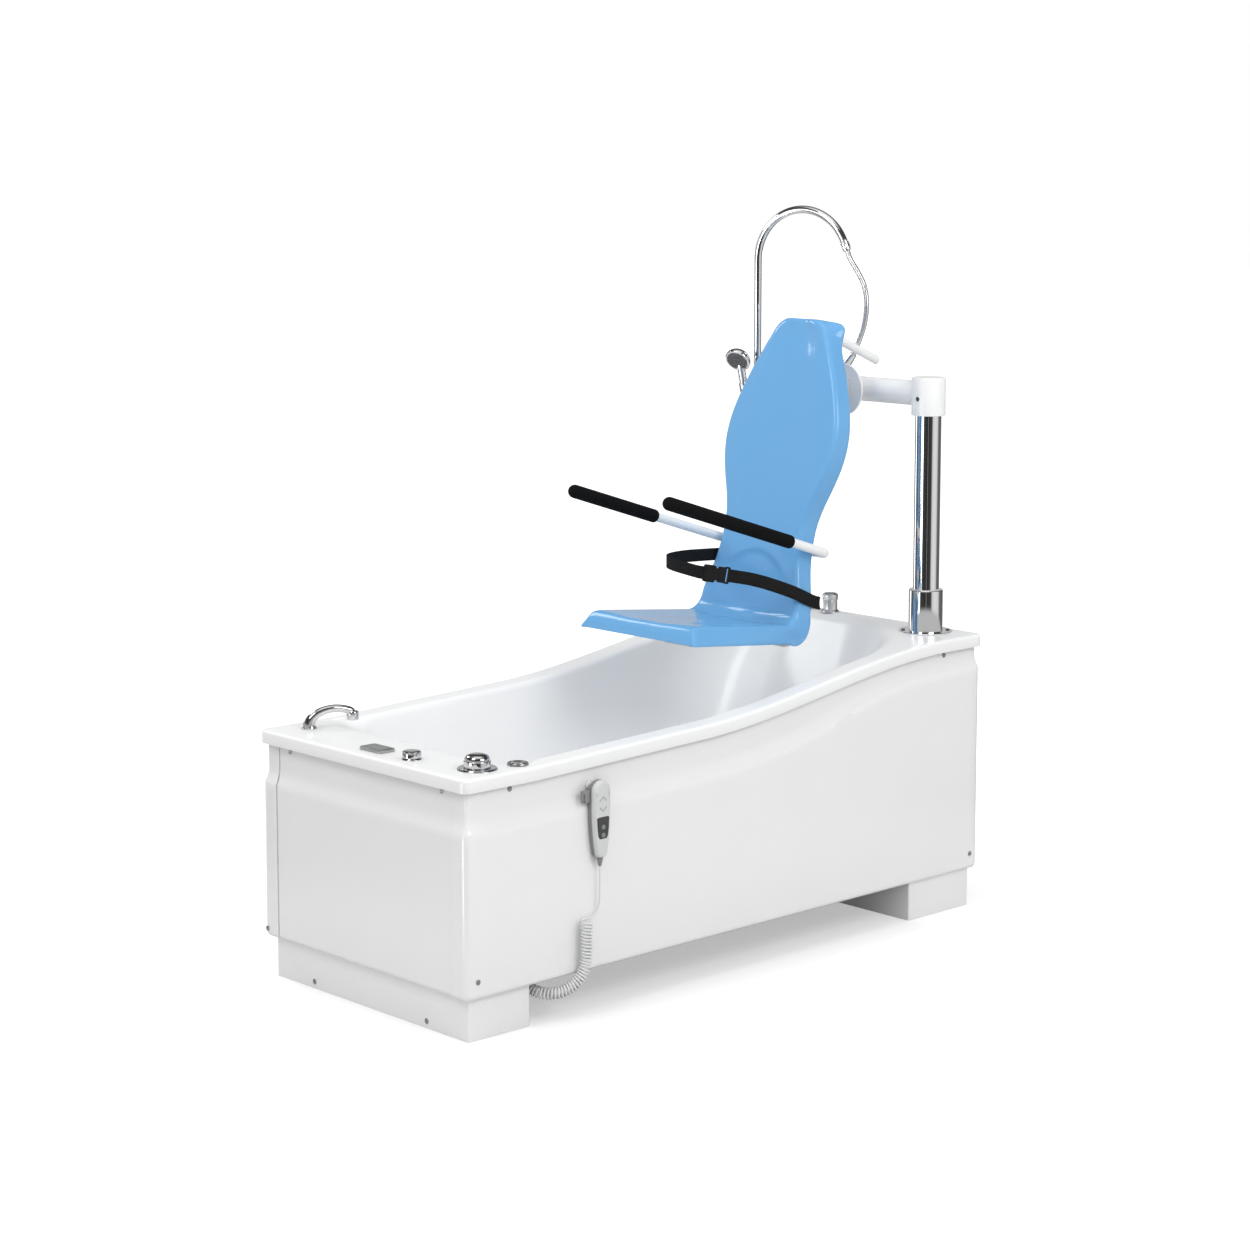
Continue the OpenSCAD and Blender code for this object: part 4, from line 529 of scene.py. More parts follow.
def shell_column(spot):
    """Points from the lip's lower edge over the deck and down the basin to the middle of the floor."""
    made = []
    for drop in (LIP_H, LIP_H - 2, LIP_H * 0.6):
        x, y = place_round(spot, lambda k, s: lip_corner(k, s, 0.6 if drop == LIP_H else 0))
        made.append((x, y, rim_z(x) - drop))
    for a in (0, 22.5, 45, 67.5, 90):
        t = math.radians(a)
        x, y = place_round(spot, lambda k, s: lip_corner(k, s, LIP_EDGE * (1 - math.cos(t))))
        made.append((x, y, rim_z(x) - LIP_EDGE * (1 - math.sin(t))))
    wide, deep = roll_sizes(spot)
    rim = place_round(spot, lambda k, s: basin_corner(k, s, FOOT_DECK_Z, 0, wide))
    top = rim_z(rim[0])
    rim = place_round(spot, lambda k, s: basin_corner(k, s, top, 0, wide))
    edge = made[-1]
    for share in (0.2, 0.4, 0.6, 0.8):
        x, y = edge[0] + (rim[0] - edge[0]) * share, edge[1] + (rim[1] - edge[1]) * share
        made.append((x, y, rim_z(x)))
    for a in range(0, 91, 10):
        t = math.radians(a)
        out, drop = wide * (1 - math.sin(t)), deep * (1 - math.cos(t))
        z = rim_z(rim[0]) - drop
        x, y = place_round(spot, lambda k, s: basin_corner(k, s, z, 0, out))
        made.append((x, y, rim_z(x) - drop if a < 30 else z + (rim_z(x) - rim_z(rim[0])) * (1 - a / 90)))
    wall_top, wall_foot = made[-1][2], FLOOR_Z + FLOOR_R
    for i in range(1, 10):
        z = wall_top + (wall_foot - wall_top) * i / 9
        made.append(place_round(spot, lambda k, s: basin_corner(k, s, z, 0, 0)) + (z,))
    for a in range(10, 91, 10):
        t = math.radians(90 - a)
        z = FLOOR_Z + FLOOR_R * (1 - math.cos(t))
        made.append(place_round(spot, lambda k, s: basin_corner(k, s, z, FLOOR_R * (1 - math.sin(t)), 0))
                    + (z,))
    x, y, z = made[-1]
    for share in (0.75, 0.5, 0.25, 0.08):
        made.append((FLOOR_MID_X + (x - FLOOR_MID_X) * share, y * share, z))
    return made


def woven(columns, closed=True, middle=None):
    """Points and faces of a skin through columns of equal length, with an optional closing point."""
    n, m = len(columns), len(columns[0])
    points = [p for column in columns for p in column]
    faces = []
    for i in range(n if closed else n - 1):
        a, b = i * m, ((i + 1) % n) * m
        faces += [(a + j, b + j, b + j + 1, a + j + 1) for j in range(m - 1)]
        if middle is not None:
            faces.append((a + m - 1, b + m - 1, n * m))
    if middle is not None:
        points.append(middle)
    return points, faces


def mesh_of(name, points, faces):
    """A mesh in metres from points in millimetres."""
    mesh = bpy.data.meshes.new(name)
    mesh.from_pydata([tuple(c * MM for c in p) for p in points], [], faces)
    return mesh


def edges_eased(made, bevel, crease, steps):
    """Small rounds on the sharp edges, as real mouldings and castings have."""
    edge = made.modifiers.new("edge", "BEVEL")
    edge.width = bevel * MM
    edge.segments = steps
    edge.limit_method = "ANGLE"
    edge.angle_limit = math.radians(crease)
    edge.harden_normals = True


def shaped(name, points, faces, finish, body, slot, stands_for=(), crease=35, outward=True, bevel=0.0,
           steps=2):
    """A piece from points in millimetres, with its softened edges, finish and body."""
    mesh = mesh_of(name, points, faces)
    work = bmesh.new()
    work.from_mesh(mesh)
    bmesh.ops.remove_doubles(work, verts=work.verts, dist=0.00002)
    bmesh.ops.dissolve_degenerate(work, edges=work.edges, dist=0.00001)
    if outward:
        bmesh.ops.recalc_face_normals(work, faces=work.faces)
    work.to_mesh(mesh)
    work.free()
    mesh.materials.append(finish)
    made = placed(name, mesh)
    smoothed(mesh, crease)
    if bevel:
        edges_eased(made, bevel, crease, steps)
    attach(made, body)
    if stands_for:
        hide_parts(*stands_for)
    return made


def joined(*parts):
    """Points and faces of several shapes as one list."""
    points, faces = [], []
    for p, f in parts:
        shift = len(points)
        points += list(p)
        faces += [tuple(i + shift for i in face) for face in f]
    return points, faces


def capped(rings):
    """Closed solid through rings of equal length, each ring a closed line."""
    n, m = len(rings), len(rings[0])
    points = [p for ring in rings for p in ring]
    faces = [(i * m + j, i * m + (j + 1) % m, (i + 1) * m + (j + 1) % m, (i + 1) * m + j)
             for i in range(n - 1) for j in range(m)]
    return points, faces + [tuple(range(m - 1, -1, -1)), tuple(range((n - 1) * m, n * m))]


def prism(outline, low, high):
    """Upright solid on an outline, from one height to another."""
    return capped([[(x, y, z) for x, y in outline] for z in (low, high)])


def faces_up(mesh):
    """Turns an open skin over if its faces look down on the whole."""
    if sum(p.normal.z * p.area for p in mesh.polygons) < 0:
        mesh.flip_normals()


def walled(piece, thick):
    """Gives a skin its wall, behind its faces."""
    wall = piece.modifiers.new("wall", "SOLIDIFY")
    wall.thickness = thick * MM
    wall.offset = -1


def bored(piece, shape):
    """Cuts a shape out of a piece."""
    tool = placed("cutter", mesh_of("cutter", *shape))
    turned_out(tool.data)
    cut = piece.modifiers.new("hole", "BOOLEAN")
    cut.object = tool
    cut.operation = "DIFFERENCE"
    baked(piece, 35)
    bpy.data.objects.remove(tool)


def ring_of(cx, cy, r, count):
    turns = [2 * math.pi * i / count for i in range(count)]
    return [(cx + r * math.cos(t), cy + r * math.sin(t)) for t in turns]


shell_points, shell_faces = woven([shell_column(s) for s in around], middle=(FLOOR_MID_X, 0, FLOOR_Z))
shell = shaped("shell", shell_points, shell_faces, acrylic, "bath", "acrylic", ("bath_shell",), crease=50)
faces_up(shell.data)
walled(shell, SHEET_T)
baked(shell, 50)
bored(shell, prism(ring_of(WASTE_X, 0, WASTE_BORE / 2, 48), FLOOR_Z - 30, FLOOR_Z + 30))

PANEL_IN, RECESS_D, PANEL_T, END_SET = 6, 12, 5, 3
BATTEN_H, BATTEN_T, BATTEN_R, BATTEN_INNER_R, BATTEN_GAP = 62, 8, 6, 9, 0.3
batten_l = HALF_L - PANEL_IN - END_SET - RECESS_D - PANEL_T - BATTEN_GAP
batten_w = HALF_W - PANEL_IN - RECESS_D - PANEL_T - BATTEN_GAP


def batten_column(spot):
    outer = place_round(spot, lambda k, s: lip_corner(k, s, 0, batten_l, batten_w, BATTEN_R))
    inner = place_round(spot, lambda k, s: lip_corner(k, s, BATTEN_T, batten_l, batten_w, BATTEN_INNER_R))
    low, high = rim_z(outer[0]) - BATTEN_H, rim_z(outer[0]) - SHEET_T
    return [outer + (low,), outer + (high,), inner + (high,), inner + (low,), outer + (low,)]


batten_points, batten_faces = woven([batten_column(s) for s in around])
shaped("battens", batten_points, batten_faces, acrylic, "bath", "acrylic")

# Side and end panels: white glass-fibre mouldings that hang under the lip. Each stands out
# below a fold that follows the rim, and its lower edge rolls under. The side panels turn
# round the upright corners, and the end panels are let in between their returns.
PANEL_Z, RECESS_H, ROLL_R, PANEL_R, RETURN_L, SEAM = 117, 45, 14, 20, 64, 1.5
FOLD_DROP_FOOT, FOLD_DROP_HEAD = 148, 101
FOLD_START_X, FOLD_SWEEP_L = 150, 550
PANEL_TOP = 12
PANEL_X, PANEL_Y = HALF_L - PANEL_IN, HALF_W - PANEL_IN
panel_white = moulded("panel_white", (0.83, 0.832, 0.838), 0.24, grain=60, dimple=0.00004, vary=0.012,
                      coat=0.8)


def fold_z(x):
    ease = smooth((x - FOLD_START_X) / FOLD_SWEEP_L)
    return rim_z(x) - FOLD_DROP_FOOT + (FOLD_DROP_FOOT - FOLD_DROP_HEAD) * ease


def panel_section(x):
    """Closed section of a panel: inset from its outer face, and height, first outside and then inside."""
    fold, top = fold_z(x), rim_z(x) - PANEL_TOP
    outer = [(ROLL_R + 8, PANEL_Z + 1), (ROLL_R, PANEL_Z)]
    outer += [(ROLL_R * (1 - math.sin(math.radians(t))), PANEL_Z + ROLL_R * (1 - math.cos(math.radians(t))))
              for t in range(15, 91, 15)]
    outer += [(0, PANEL_Z + (fold - PANEL_Z) * share) for share in (0.5, 0.96)]
    outer += [(RECESS_D * (1 - (1 - k / 12) ** 2), fold + RECESS_H * k / 12) for k in range(13)]
    outer += [(RECESS_D, top)]
    inner = [(d + PANEL_T, z) for d, z in reversed(outer[8:])]
    return outer + inner + [(PANEL_T + ROLL_R + 3, PANEL_Z + 6)]


def side_panel(sign):
    stations = []
    for i in range(5):
        t = math.radians(90 * i / 4)
        stations.append((PANEL_X - PANEL_R + PANEL_R * math.sin(t),
                         -PANEL_Y + PANEL_R - PANEL_R * math.cos(t), t))
    head = stations + [(PANEL_X, -PANEL_Y + RETURN_L, math.radians(90))]
    foot = [(-x, y, -t) for x, y, t in reversed(head)]
    count, straight = 96, PANEL_X - PANEL_R
    run = [(-straight + 2 * straight * i / count, -PANEL_Y, 0) for i in range(1, count)]
    rings = []
    for x, y, t in foot + run + head:
        section = panel_section(x)
        rings.append([(x - d * math.sin(t), sign * -(y + d * math.cos(t)), z) for d, z in section])
    return capped(rings)


def end_panel(sign):
    half = PANEL_Y - RETURN_L - SEAM
    section = panel_section(sign * HALF_L)
    rings = []
    for y in (-half, -half * 0.5, 0, half * 0.5, half):
        rings.append([(sign * (PANEL_X - END_SET - d), y, z) for d, z in section])
    return capped(rings)


for panel_name, panel_shape in (("front_panel", side_panel(-1)), ("back_panel", side_panel(1)),
                                ("foot_panel", end_panel(-1)), ("head_panel", end_panel(1))):
    shaped(panel_name + "_moulding", *panel_shape, panel_white, "bath", "panel", (panel_name,), crease=28,
           bevel=1.2)

# Plinths: two open boxes of the same white moulding, set back under the panels at each end.
# Their upright corners are folded, with a small radius, and a shadow line parts them from the panels.
PLINTH_IN, PLINTH_T, PLINTH_H = 31, 4, 134.7
FOOT_PLINTH_L, FOOT_PLINTH_HALF, HEAD_PLINTH_L, HEAD_PLINTH_HALF = 212, 416, 272, 424
PLINTHS = (("foot_plinth", -HALF_L + PLINTH_IN, -HALF_L + PLINTH_IN + FOOT_PLINTH_L, FOOT_PLINTH_HALF),
           ("head_plinth", HALF_L - PLINTH_IN - HEAD_PLINTH_L, HALF_L - PLINTH_IN, HEAD_PLINTH_HALF))


def rounded_outline(x0, x1, y0, y1, r, steps=5):
    made = []
    for cx, cy, a in ((x1 - r, y1 - r, 0), (x0 + r, y1 - r, 90), (x0 + r, y0 + r, 180),
                      (x1 - r, y0 + r, 270)):
        turns = [math.radians(a + 90 * i / steps) for i in range(steps + 1)]
        made += [(cx + r * math.cos(t), cy + r * math.sin(t)) for t in turns]
    return made


def hoop(outer, inner, low, high):
    """Solid between two outlines of equal length, open through its middle."""
    n, loops = len(outer), ((outer, low), (outer, high), (inner, high), (inner, low))
    points = [(x, y, z) for line, z in loops for x, y in line]
    faces = [(k * n + i, k * n + (i + 1) % n, ((k + 1) % 4) * n + (i + 1) % n, ((k + 1) % 4) * n + i)
             for k in range(4) for i in range(n)]
    return points, faces


for plinth_name, x0, x1, half in PLINTHS:
    outer = rounded_outline(x0, x1, -half, half, 6)
    inner = rounded_outline(x0 + PLINTH_T, x1 - PLINTH_T, -half + PLINTH_T, half - PLINTH_T, 3)
    shaped(plinth_name + "_box", *hoop(outer, inner, 0, PLINTH_H), panel_white, "bath", "panel",
           (plinth_name,), bevel=0.6)

# Panel and plinth screws: small domed steel screws with a round recess in the head, along the
# edges of the panels and low on the plinths. One screw is made and set at every place by a tree.
SCREW_DROP, SIDE_SCREW_X, END_SCREW_Y = 49, 860, 327
LOW_SCREW_Z, LOW_SCREW_IN, RETURN_SCREW_IN, RETURN_SCREW_DROP = 165, 38, 16, 26
PLINTH_SCREW_Y, PLINTH_SCREW_Z = 244, 20
screw_steel = polished("screw_steel", level=0.36, rough=0.32)


def lathe(profile, sides=32, flutes=0, depth=0.0, up_to=0.0, low=-1e9):
    """Solid turned about Z through (radius, height) places, scalloped between two heights if asked for."""
    columns = []
    for i in range(sides):
        a = 2 * math.pi * i / sides
        bite = 1 - depth * max(0, math.cos(a * flutes)) ** 6 if flutes else 1
        columns.append([(r * (bite if low <= z <= up_to else 1) * math.cos(a),
                         r * (bite if low <= z <= up_to else 1) * math.sin(a), z) for r, z in profile])
    points, faces = woven(columns)
    m = len(profile)
    if profile[0][0] > 0:
        faces.append(tuple(i * m for i in range(sides))[::-1])
    if profile[-1][0] > 0:
        faces.append(tuple(i * m + m - 1 for i in range(sides)))
    return points, faces


def moved(shape, place, axis=(0, 0, 1)):
    """Shape turned so that its Z lies along an axis, and set at a place."""
    turn = Vector((0, 0, 1)).rotation_difference(Vector(axis)).to_matrix()
    return [tuple(turn @ Vector(p) + Vector(place)) for p in shape[0]], shape[1]


def spread_tree():
    """Sets a copy of a small piece on every point of a mesh, turned to the point's own way out."""
    tree = tree_with("set_on_places", "Pieces", Places="Geometry", Piece="Object", Seed="Int",
                     Finish="Material")
    given, result = node(tree, "NodeGroupInput"), node(tree, "NodeGroupOutput")
    info = node(tree, "GeometryNodeObjectInfo")
    spots = node(tree, "GeometryNodeInstanceOnPoints")
    way = node(tree, "GeometryNodeInputNamedAttribute", {"Name": "way_out"}, data_type="FLOAT_VECTOR")
    align = node(tree, "FunctionNodeAlignRotationToVector", axis="Z")
    chance = node(tree, "FunctionNodeRandomValue", {3: 6.283}, data_type="FLOAT")
    spin = node(tree, "FunctionNodeRotateRotation", rotation_space="LOCAL")
    about = node(tree, "FunctionNodeAxisAngleToRotation")
    real = node(tree, "GeometryNodeRealizeInstances")
    paint = node(tree, "GeometryNodeSetMaterial")
    wire(tree, (given, "Places", spots, "Points"), (given, "Piece", info, "Object"),
         (info, "Geometry", spots, "Instance"), (way, "Attribute", align, "Vector"),
         (given, "Seed", chance, "Seed"), (chance, 1, about, "Angle"),
         (align, "Rotation", spin, "Rotation"), (about, "Rotation", spin, "Rotate By"),
         (spin, "Rotation", spots, "Rotation"), (spots, "Instances", real, "Geometry"),
         (real, "Geometry", paint, "Geometry"), (given, "Finish", paint, "Material"),
         (paint, "Geometry", result, "Pieces"))
    return tree


SPREAD_TREE = spread_tree()
SPIN_SEED = 7


def set_on_places(name, shape, places, finish, body, stands_for=()):
    """places holds (point in millimetres, way out)."""
    one = placed(name + "_one", mesh_of(name + "_one", *shape))
    turned_out(one.data)
    spots = mesh_of(name, [p for p, _ in places], [])
    ways = spots.attributes.new("way_out", "FLOAT_VECTOR", "POINT")
    for i, (_, out) in enumerate(places):
        ways.data[i].vector = out
    made = placed(name, spots)
    grown(made, SPREAD_TREE, 35, Piece=one, Seed=SPIN_SEED, Finish=finish)
    bpy.data.objects.remove(one)
    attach(made, body)
    if stands_for:
        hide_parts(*stands_for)


def both_ways(value):
    return -value, value


screw_places = []
for s in (-1, 1):
    side_y, end_x = s * (PANEL_Y - RECESS_D), s * (PANEL_X - END_SET - RECESS_D)
    end_z = rim_z(s * HALF_L) - SCREW_DROP
    screw_places += [((x, side_y, rim_z(x) - SCREW_DROP), (0, s, 0)) for x in both_ways(SIDE_SCREW_X)]
    screw_places += [((x, s * PANEL_Y, LOW_SCREW_Z), (0, s, 0)) for x in both_ways(PANEL_X - LOW_SCREW_IN)]
    screw_places += [((end_x, y, end_z), (s, 0, 0)) for y in both_ways(END_SCREW_Y)]
    screw_places += [((s * (HALF_L - PLINTH_IN), y, PLINTH_SCREW_Z), (s, 0, 0))
                     for y in both_ways(PLINTH_SCREW_Y)]
screw_places += [((x, PANEL_Y - RETURN_SCREW_IN, LOW_SCREW_Z - RETURN_SCREW_DROP),
                  (math.copysign(1, x), 0, 0)) for x in both_ways(PANEL_X)]
screw_shape = lathe([(2.5, -12), (2.5, 0), (7.5, 0), (7.5, 0.9), (6.8, 1.8), (5.2, 2.6), (3.4, 3),
                     (2.6, 2.7), (0, 1.5)], sides=24)
set_on_places("screws", screw_shape, screw_places, screw_steel, "bath", ("panel_screws",))

# Foot-deck fittings: a chromed filler spout that arches over the basin from a small rosette,
# a plain temperature display in a grey bezel, a small diverter, the thermostatic mixer with its
# domed knob on a wide plate, and a flat push button. Each is set on the foot deck on its own stem.
SPOUT_AT, SPOUT_TURN = (-919, 352), -22
DISPLAY_AT, DIVERTER_AT, MIXER_AT, BUTTON_AT = (-957, 0), (-960, -150), (-911, -359), (-800, -392)
BASE_H, GAP, BUTTON_LIFT = 5, 0.3, 0.8


def swept(path, radii, sides, start):
    """Closed tube through points with a radius at each of them."""
    turns = [2 * math.pi * j / sides for j in range(sides)]
    return capped([[tuple(p + r * (math.cos(t) * u + math.sin(t) * w)) for t in turns]
                   for p, r, (_, u, w) in zip(path, radii, carried(path, start))])


def eased(values, steps):
    """Numbers run smoothly through given ones."""
    return [p.x for p in smooth_path([(v, 0, 0) for v in values], steps)]


def on_deck(place, z=FOOT_DECK_Z):
    return (place[0], place[1], z)


SPOUT_REACH = 125
spout_turn = math.radians(SPOUT_TURN)
SPOUT_PATH = ((0, 3), (0, 12), (7, 27), (23, 40), (48, 49), (74, 52), (98, 49), (117, 42),
              (SPOUT_REACH, 32))
SPOUT_RADII = (19.8, 17, 14.3, 12.6, 11.5, 11, 11, 12, 12.6)


def along_spout(reach, height=0):
    """Place at a reach from the spout's foot, in the plane of its arch."""
    return (SPOUT_AT[0] + reach * math.cos(spout_turn), SPOUT_AT[1] + reach * math.sin(spout_turn),
            FOOT_DECK_Z + height)


spout_line = smooth_path([along_spout(*p) for p in SPOUT_PATH], 5)
nozzle = lathe([(0, 20), (12.5, 20), (14, 17), (16, 17), (17, 18.5), (17, 30), (16.4, 30.6), (17, 31.2),
                (17, 39), (14.5, 42), (0, 42)], 48)
spout_shape = joined(
    swept(spout_line, eased(SPOUT_RADII, 5), 32, (0, 1, 0)),
    moved(nozzle, along_spout(SPOUT_REACH)),
    moved(lathe([(16, -40), (16, 0), (22, 0), (22, 2.6), (20.5, 4)], 48), on_deck(SPOUT_AT)))
deck_chrome = polished("deck_chrome", level=0.66, rough=0.1)
shaped("spout", *spout_shape, deck_chrome, "bath", "chrome", ("bath_spout",), crease=40, bevel=1.2)

bezel_grey = polished("bezel_grey", level=0.42, rough=0.32)
display_dark = moulded("display_dark", (0.20, 0.205, 0.21), 0.3, grain=300, dimple=0.00001, vary=0.06)


def slab(cx, cy, a, b, r, low, high, steps=6):
    return prism([(cx + x, cy + y) for x, y in rounded_outline(-a, a, -b, b, r, steps)], low, high)


shaped("display_bezel", *joined(slab(*DISPLAY_AT, 27, 46, 8, FOOT_DECK_Z, FOOT_DECK_Z + 8.6),
                                moved(lathe([(10, -14), (10, 1)]), on_deck(DISPLAY_AT))),
       bezel_grey, "bath", "grey_plastic", ("display_panel",), bevel=1.6, steps=3)
shaped("display_window", *slab(*DISPLAY_AT, 20, 35, 4, FOOT_DECK_Z + 7, FOOT_DECK_Z + 9), display_dark,
       "bath", "display_plastic", bevel=0.6)


def turned(name, profile, place, body, stands_for, finish=chrome, slot="chrome", sides=64, bevel=0.6,
           axis=(0, 0, 1), **flutes):
    return shaped(name, *moved(lathe(profile, sides, **flutes), place, axis), finish, body, slot,
                  stands_for, bevel=bevel)


turned("diverter_rosette", [(10, -22), (10, 0), (27, 0), (27, 1.2), (24, BASE_H), (6, BASE_H), (6, 17),
                            (0, 17)], on_deck(DIVERTER_AT), "bath", ("diverter_base",), finish=deck_chrome)
turned("diverter_top", [(6.2, 0), (24, 0), (25, 1), (25, 14.5), (24.2, 16.5), (22, 17.6), (12, 18),
                        (0, 18)], on_deck(DIVERTER_AT, FOOT_DECK_Z + BASE_H + GAP), "diverter",
       ("diverter_knob",), finish=deck_chrome, sides=96)
turned("mixer_rosette", [(16, -22), (16, 0), (53.5, 0), (53.5, 1.4), (50.5, BASE_H), (6, BASE_H), (6, 17),
                         (0, 17)], on_deck(MIXER_AT), "bath", ("mixer_plate",), finish=deck_chrome,
       sides=96)
turned("mixer_top", [(6.2, 0), (34.5, 0), (36, 1.4), (36, 17), (34.6, 18.4), (34.4, 19.6), (34, 22),
                     (32, 27), (27.5, 32), (19, 35), (9, 36), (0, 36)],
       on_deck(MIXER_AT, FOOT_DECK_Z + BASE_H + GAP), "mixer", ("mixer_knob",), finish=deck_chrome,
       flutes=8, depth=0.1, up_to=16, low=2, sides=96)
turned("button_surround", [(10, -28), (10, 0), (29, 0), (29, 2), (26.5, 6), (20.4, 6), (20.4, 2), (6.4, 2),
                           (6.4, -16)], on_deck(BUTTON_AT, FOOT_DECK_Z + BUTTON_LIFT), "bath",
       ("button_ring",), finish=bezel_grey)
turned("button_top", [(6, -12), (6, 5.4), (20, 5.4), (20, 6.6), (19, 7.4), (11, 7.4), (10, 6.8), (0, 6.8)],
       on_deck(BUTTON_AT, FOOT_DECK_Z + BUTTON_LIFT), "button", ("push_button",),
       finish=polished("button_steel", 0.6, 0.24))

# Head fitting: a two-tier chromed knob on a turned base, at the end of the head deck.
# It lets air or water into the bath, and its upper tier is grooved for the fingers.
INLET_AT, INLET_H = (987, 152), 38
satin = polished("satin_chrome", level=0.8, rough=0.3)
turned("inlet_body", [(10, -22), (10, 0), (30, 0), (29.5, 2.4), (26, 6), (23, 7), (23, INLET_H - 2),
                      (22, INLET_H), (6, INLET_H), (6, INLET_H + 12), (0, INLET_H + 12)],
       on_deck(INLET_AT, HEAD_DECK_Z), "bath", ("inlet_base",), finish=satin)
turned("inlet_top", [(6.2, 0), (24, 0), (25, 1), (25, 4), (24, 5), (24, 7), (25, 8), (25, 17), (23.5, 19),
                     (21, 19.4), (20, 20.4), (18, 21.8), (0, 22)],
       on_deck(INLET_AT, HEAD_DECK_Z + INLET_H + GAP), "inlet", ("inlet_knob",), finish=satin, flutes=12,
       depth=0.05, up_to=16.5, low=8.5, sides=96)

# Column: a chromed lift tube that slides up out of a flanged collar on the head deck. The collar
# is screwed down with four screws, and the tube carries a white painted cap with its clamp screw.
COLUMN_AT = (928, -296)
COLLAR_H, COLLAR_R, FLANGE_R, FLANGE_T, SCREW_RING = 130, 52, 81.5, 4, 67.5
TUBE_R, TUBE_LOW, CAP_Z, CAP_H = 39.75, 650, 1502, 115
TUBE_TOP = CAP_Z + CAP_H - 15
white_paint = moulded("white_paint", (0.86, 0.865, 0.87), 0.3, grain=420, dimple=0.00003, vary=0.015,
                      coat=0.2)
dark_steel = polished("dark_steel", level=0.16, rough=0.4)
turned("collar", [(44, 0), (FLANGE_R, 0), (FLANGE_R, 3), (FLANGE_R - 1, 4), (COLLAR_R + 0.5, 4),
                  (COLLAR_R, 5), (COLLAR_R, COLLAR_H - 2), (COLLAR_R - 2, COLLAR_H), (44, COLLAR_H),
                  (43.6, COLLAR_H - 3), (43.6, 0.5)], on_deck(COLUMN_AT, HEAD_DECK_Z), "bath",
       ("column_collar",), sides=128, bevel=0)
flange_screws = [((COLUMN_AT[0] + SCREW_RING * math.cos(t), COLUMN_AT[1] + SCREW_RING * math.sin(t),
                   HEAD_DECK_Z + FLANGE_T), (0, 0, 1)) for t in map(math.radians, (45, 135, 225, 315))]
set_on_places("flange_screws", lathe([(3, -4), (3, 0), (6, 0), (6, 2), (5.2, 3), (3.4, 3), (3, 1.2),
                                      (0, 1.2)], 24), flange_screws, dark_steel, "bath",
              ("collar_screws",))
turned("column_tube", [(TUBE_R - 3, TUBE_LOW), (TUBE_R, TUBE_LOW), (TUBE_R, TUBE_TOP - 1),
                       (TUBE_R - 1, TUBE_TOP), (0, TUBE_TOP), (0, TUBE_TOP - 9),
                       (TUBE_R - 3, TUBE_TOP - 9)], on_deck(COLUMN_AT, 0), "lift", ("lift_tube",),
       sides=128, bevel=0)


REFINED_CREASE = 30


def refined(node_name, finish, bevel, steps=2):
    """A copy of the frame's own solid with its edges softened, for a piece whose shape is right already."""
    source = frame["nodes"][node_name]
    mesh = source.data.copy()
    work = bmesh.new()
    work.from_mesh(mesh)
    bmesh.ops.remove_doubles(work, verts=work.verts, dist=0.000005)
    bmesh.ops.dissolve_limit(work, angle_limit=math.radians(0.4), verts=work.verts, edges=work.edges)
    work.to_mesh(mesh)
    work.free()
    mesh.materials.clear()
    mesh.materials.append(finish)
    smoothed(mesh, REFINED_CREASE)
    made = placed(node_name + "_made", mesh)
    edges_eased(made, bevel, REFINED_CREASE, steps)
    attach(made, source["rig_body"])
    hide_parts(node_name)
    return made


CAP_R, BORE_R, CLAMP_R, CLAMP_H, CLAMP_DEEP = 51.5, 39.8, 7.4, 51, 12
cap_shape = lathe([(BORE_R, 0), (CAP_R - 1.5, 0), (CAP_R, 1.5), (CAP_R, CAP_H - 4),
                   (CAP_R - 1.2, CAP_H - 1.2), (CAP_R - 4, CAP_H), (CAP_R - 9, CAP_H),
                   (CAP_R - 9.6, CAP_H - 0.8), (CAP_R - 10.2, CAP_H), (0, CAP_H), (0, CAP_H - 14.7),
                   (BORE_R, CAP_H - 14.7)], 128)
cap = shaped("cap", *moved(cap_shape, on_deck(COLUMN_AT, CAP_Z)), white_paint, "chair", "white_paint",
             ("column_cap",))
bored(cap, moved(lathe([(CLAMP_R, 0), (CLAMP_R, CLAMP_DEEP)]),
                 (COLUMN_AT[0] - CAP_R - 1, COLUMN_AT[1], CAP_Z + CLAMP_H), (1, 0, 0)))
refined("cap_screw", dark_steel, bevel=0.3)

# Support arm and hub: a white painted tube that reaches from the column's cap to the seat,
# where it ends in a round dished disc bolted to the bracket behind the shell.
refined("support_arm", white_paint, bevel=1.2, steps=3)
refined("hub_disc", white_paint, bevel=1.5, steps=3)
bracket_paint = moulded("bracket_paint", (0.62, 0.63, 0.64), 0.35, grain=300, dimple=0.00003, vary=0.03,
                        coat=0.1)
bracket = refined("seat_bracket", bracket_paint, bevel=1.2)
rest_rubber = moulded("rest_rubber", (0.03, 0.03, 0.032), 0.6, grain=700, dimple=0.0001, vary=0.15)
bracket.data.materials.append(rest_rubber)
REST_FROM, REST_TO, REST_TOP = 0.1, 0.14, 0.9
for face in bracket.data.polygons:
    if REST_FROM < face.center.x < REST_TO and face.center.z < REST_TOP:
        face.material_index = 1
refined("push_handle", white_paint, bevel=2.5, steps=3)

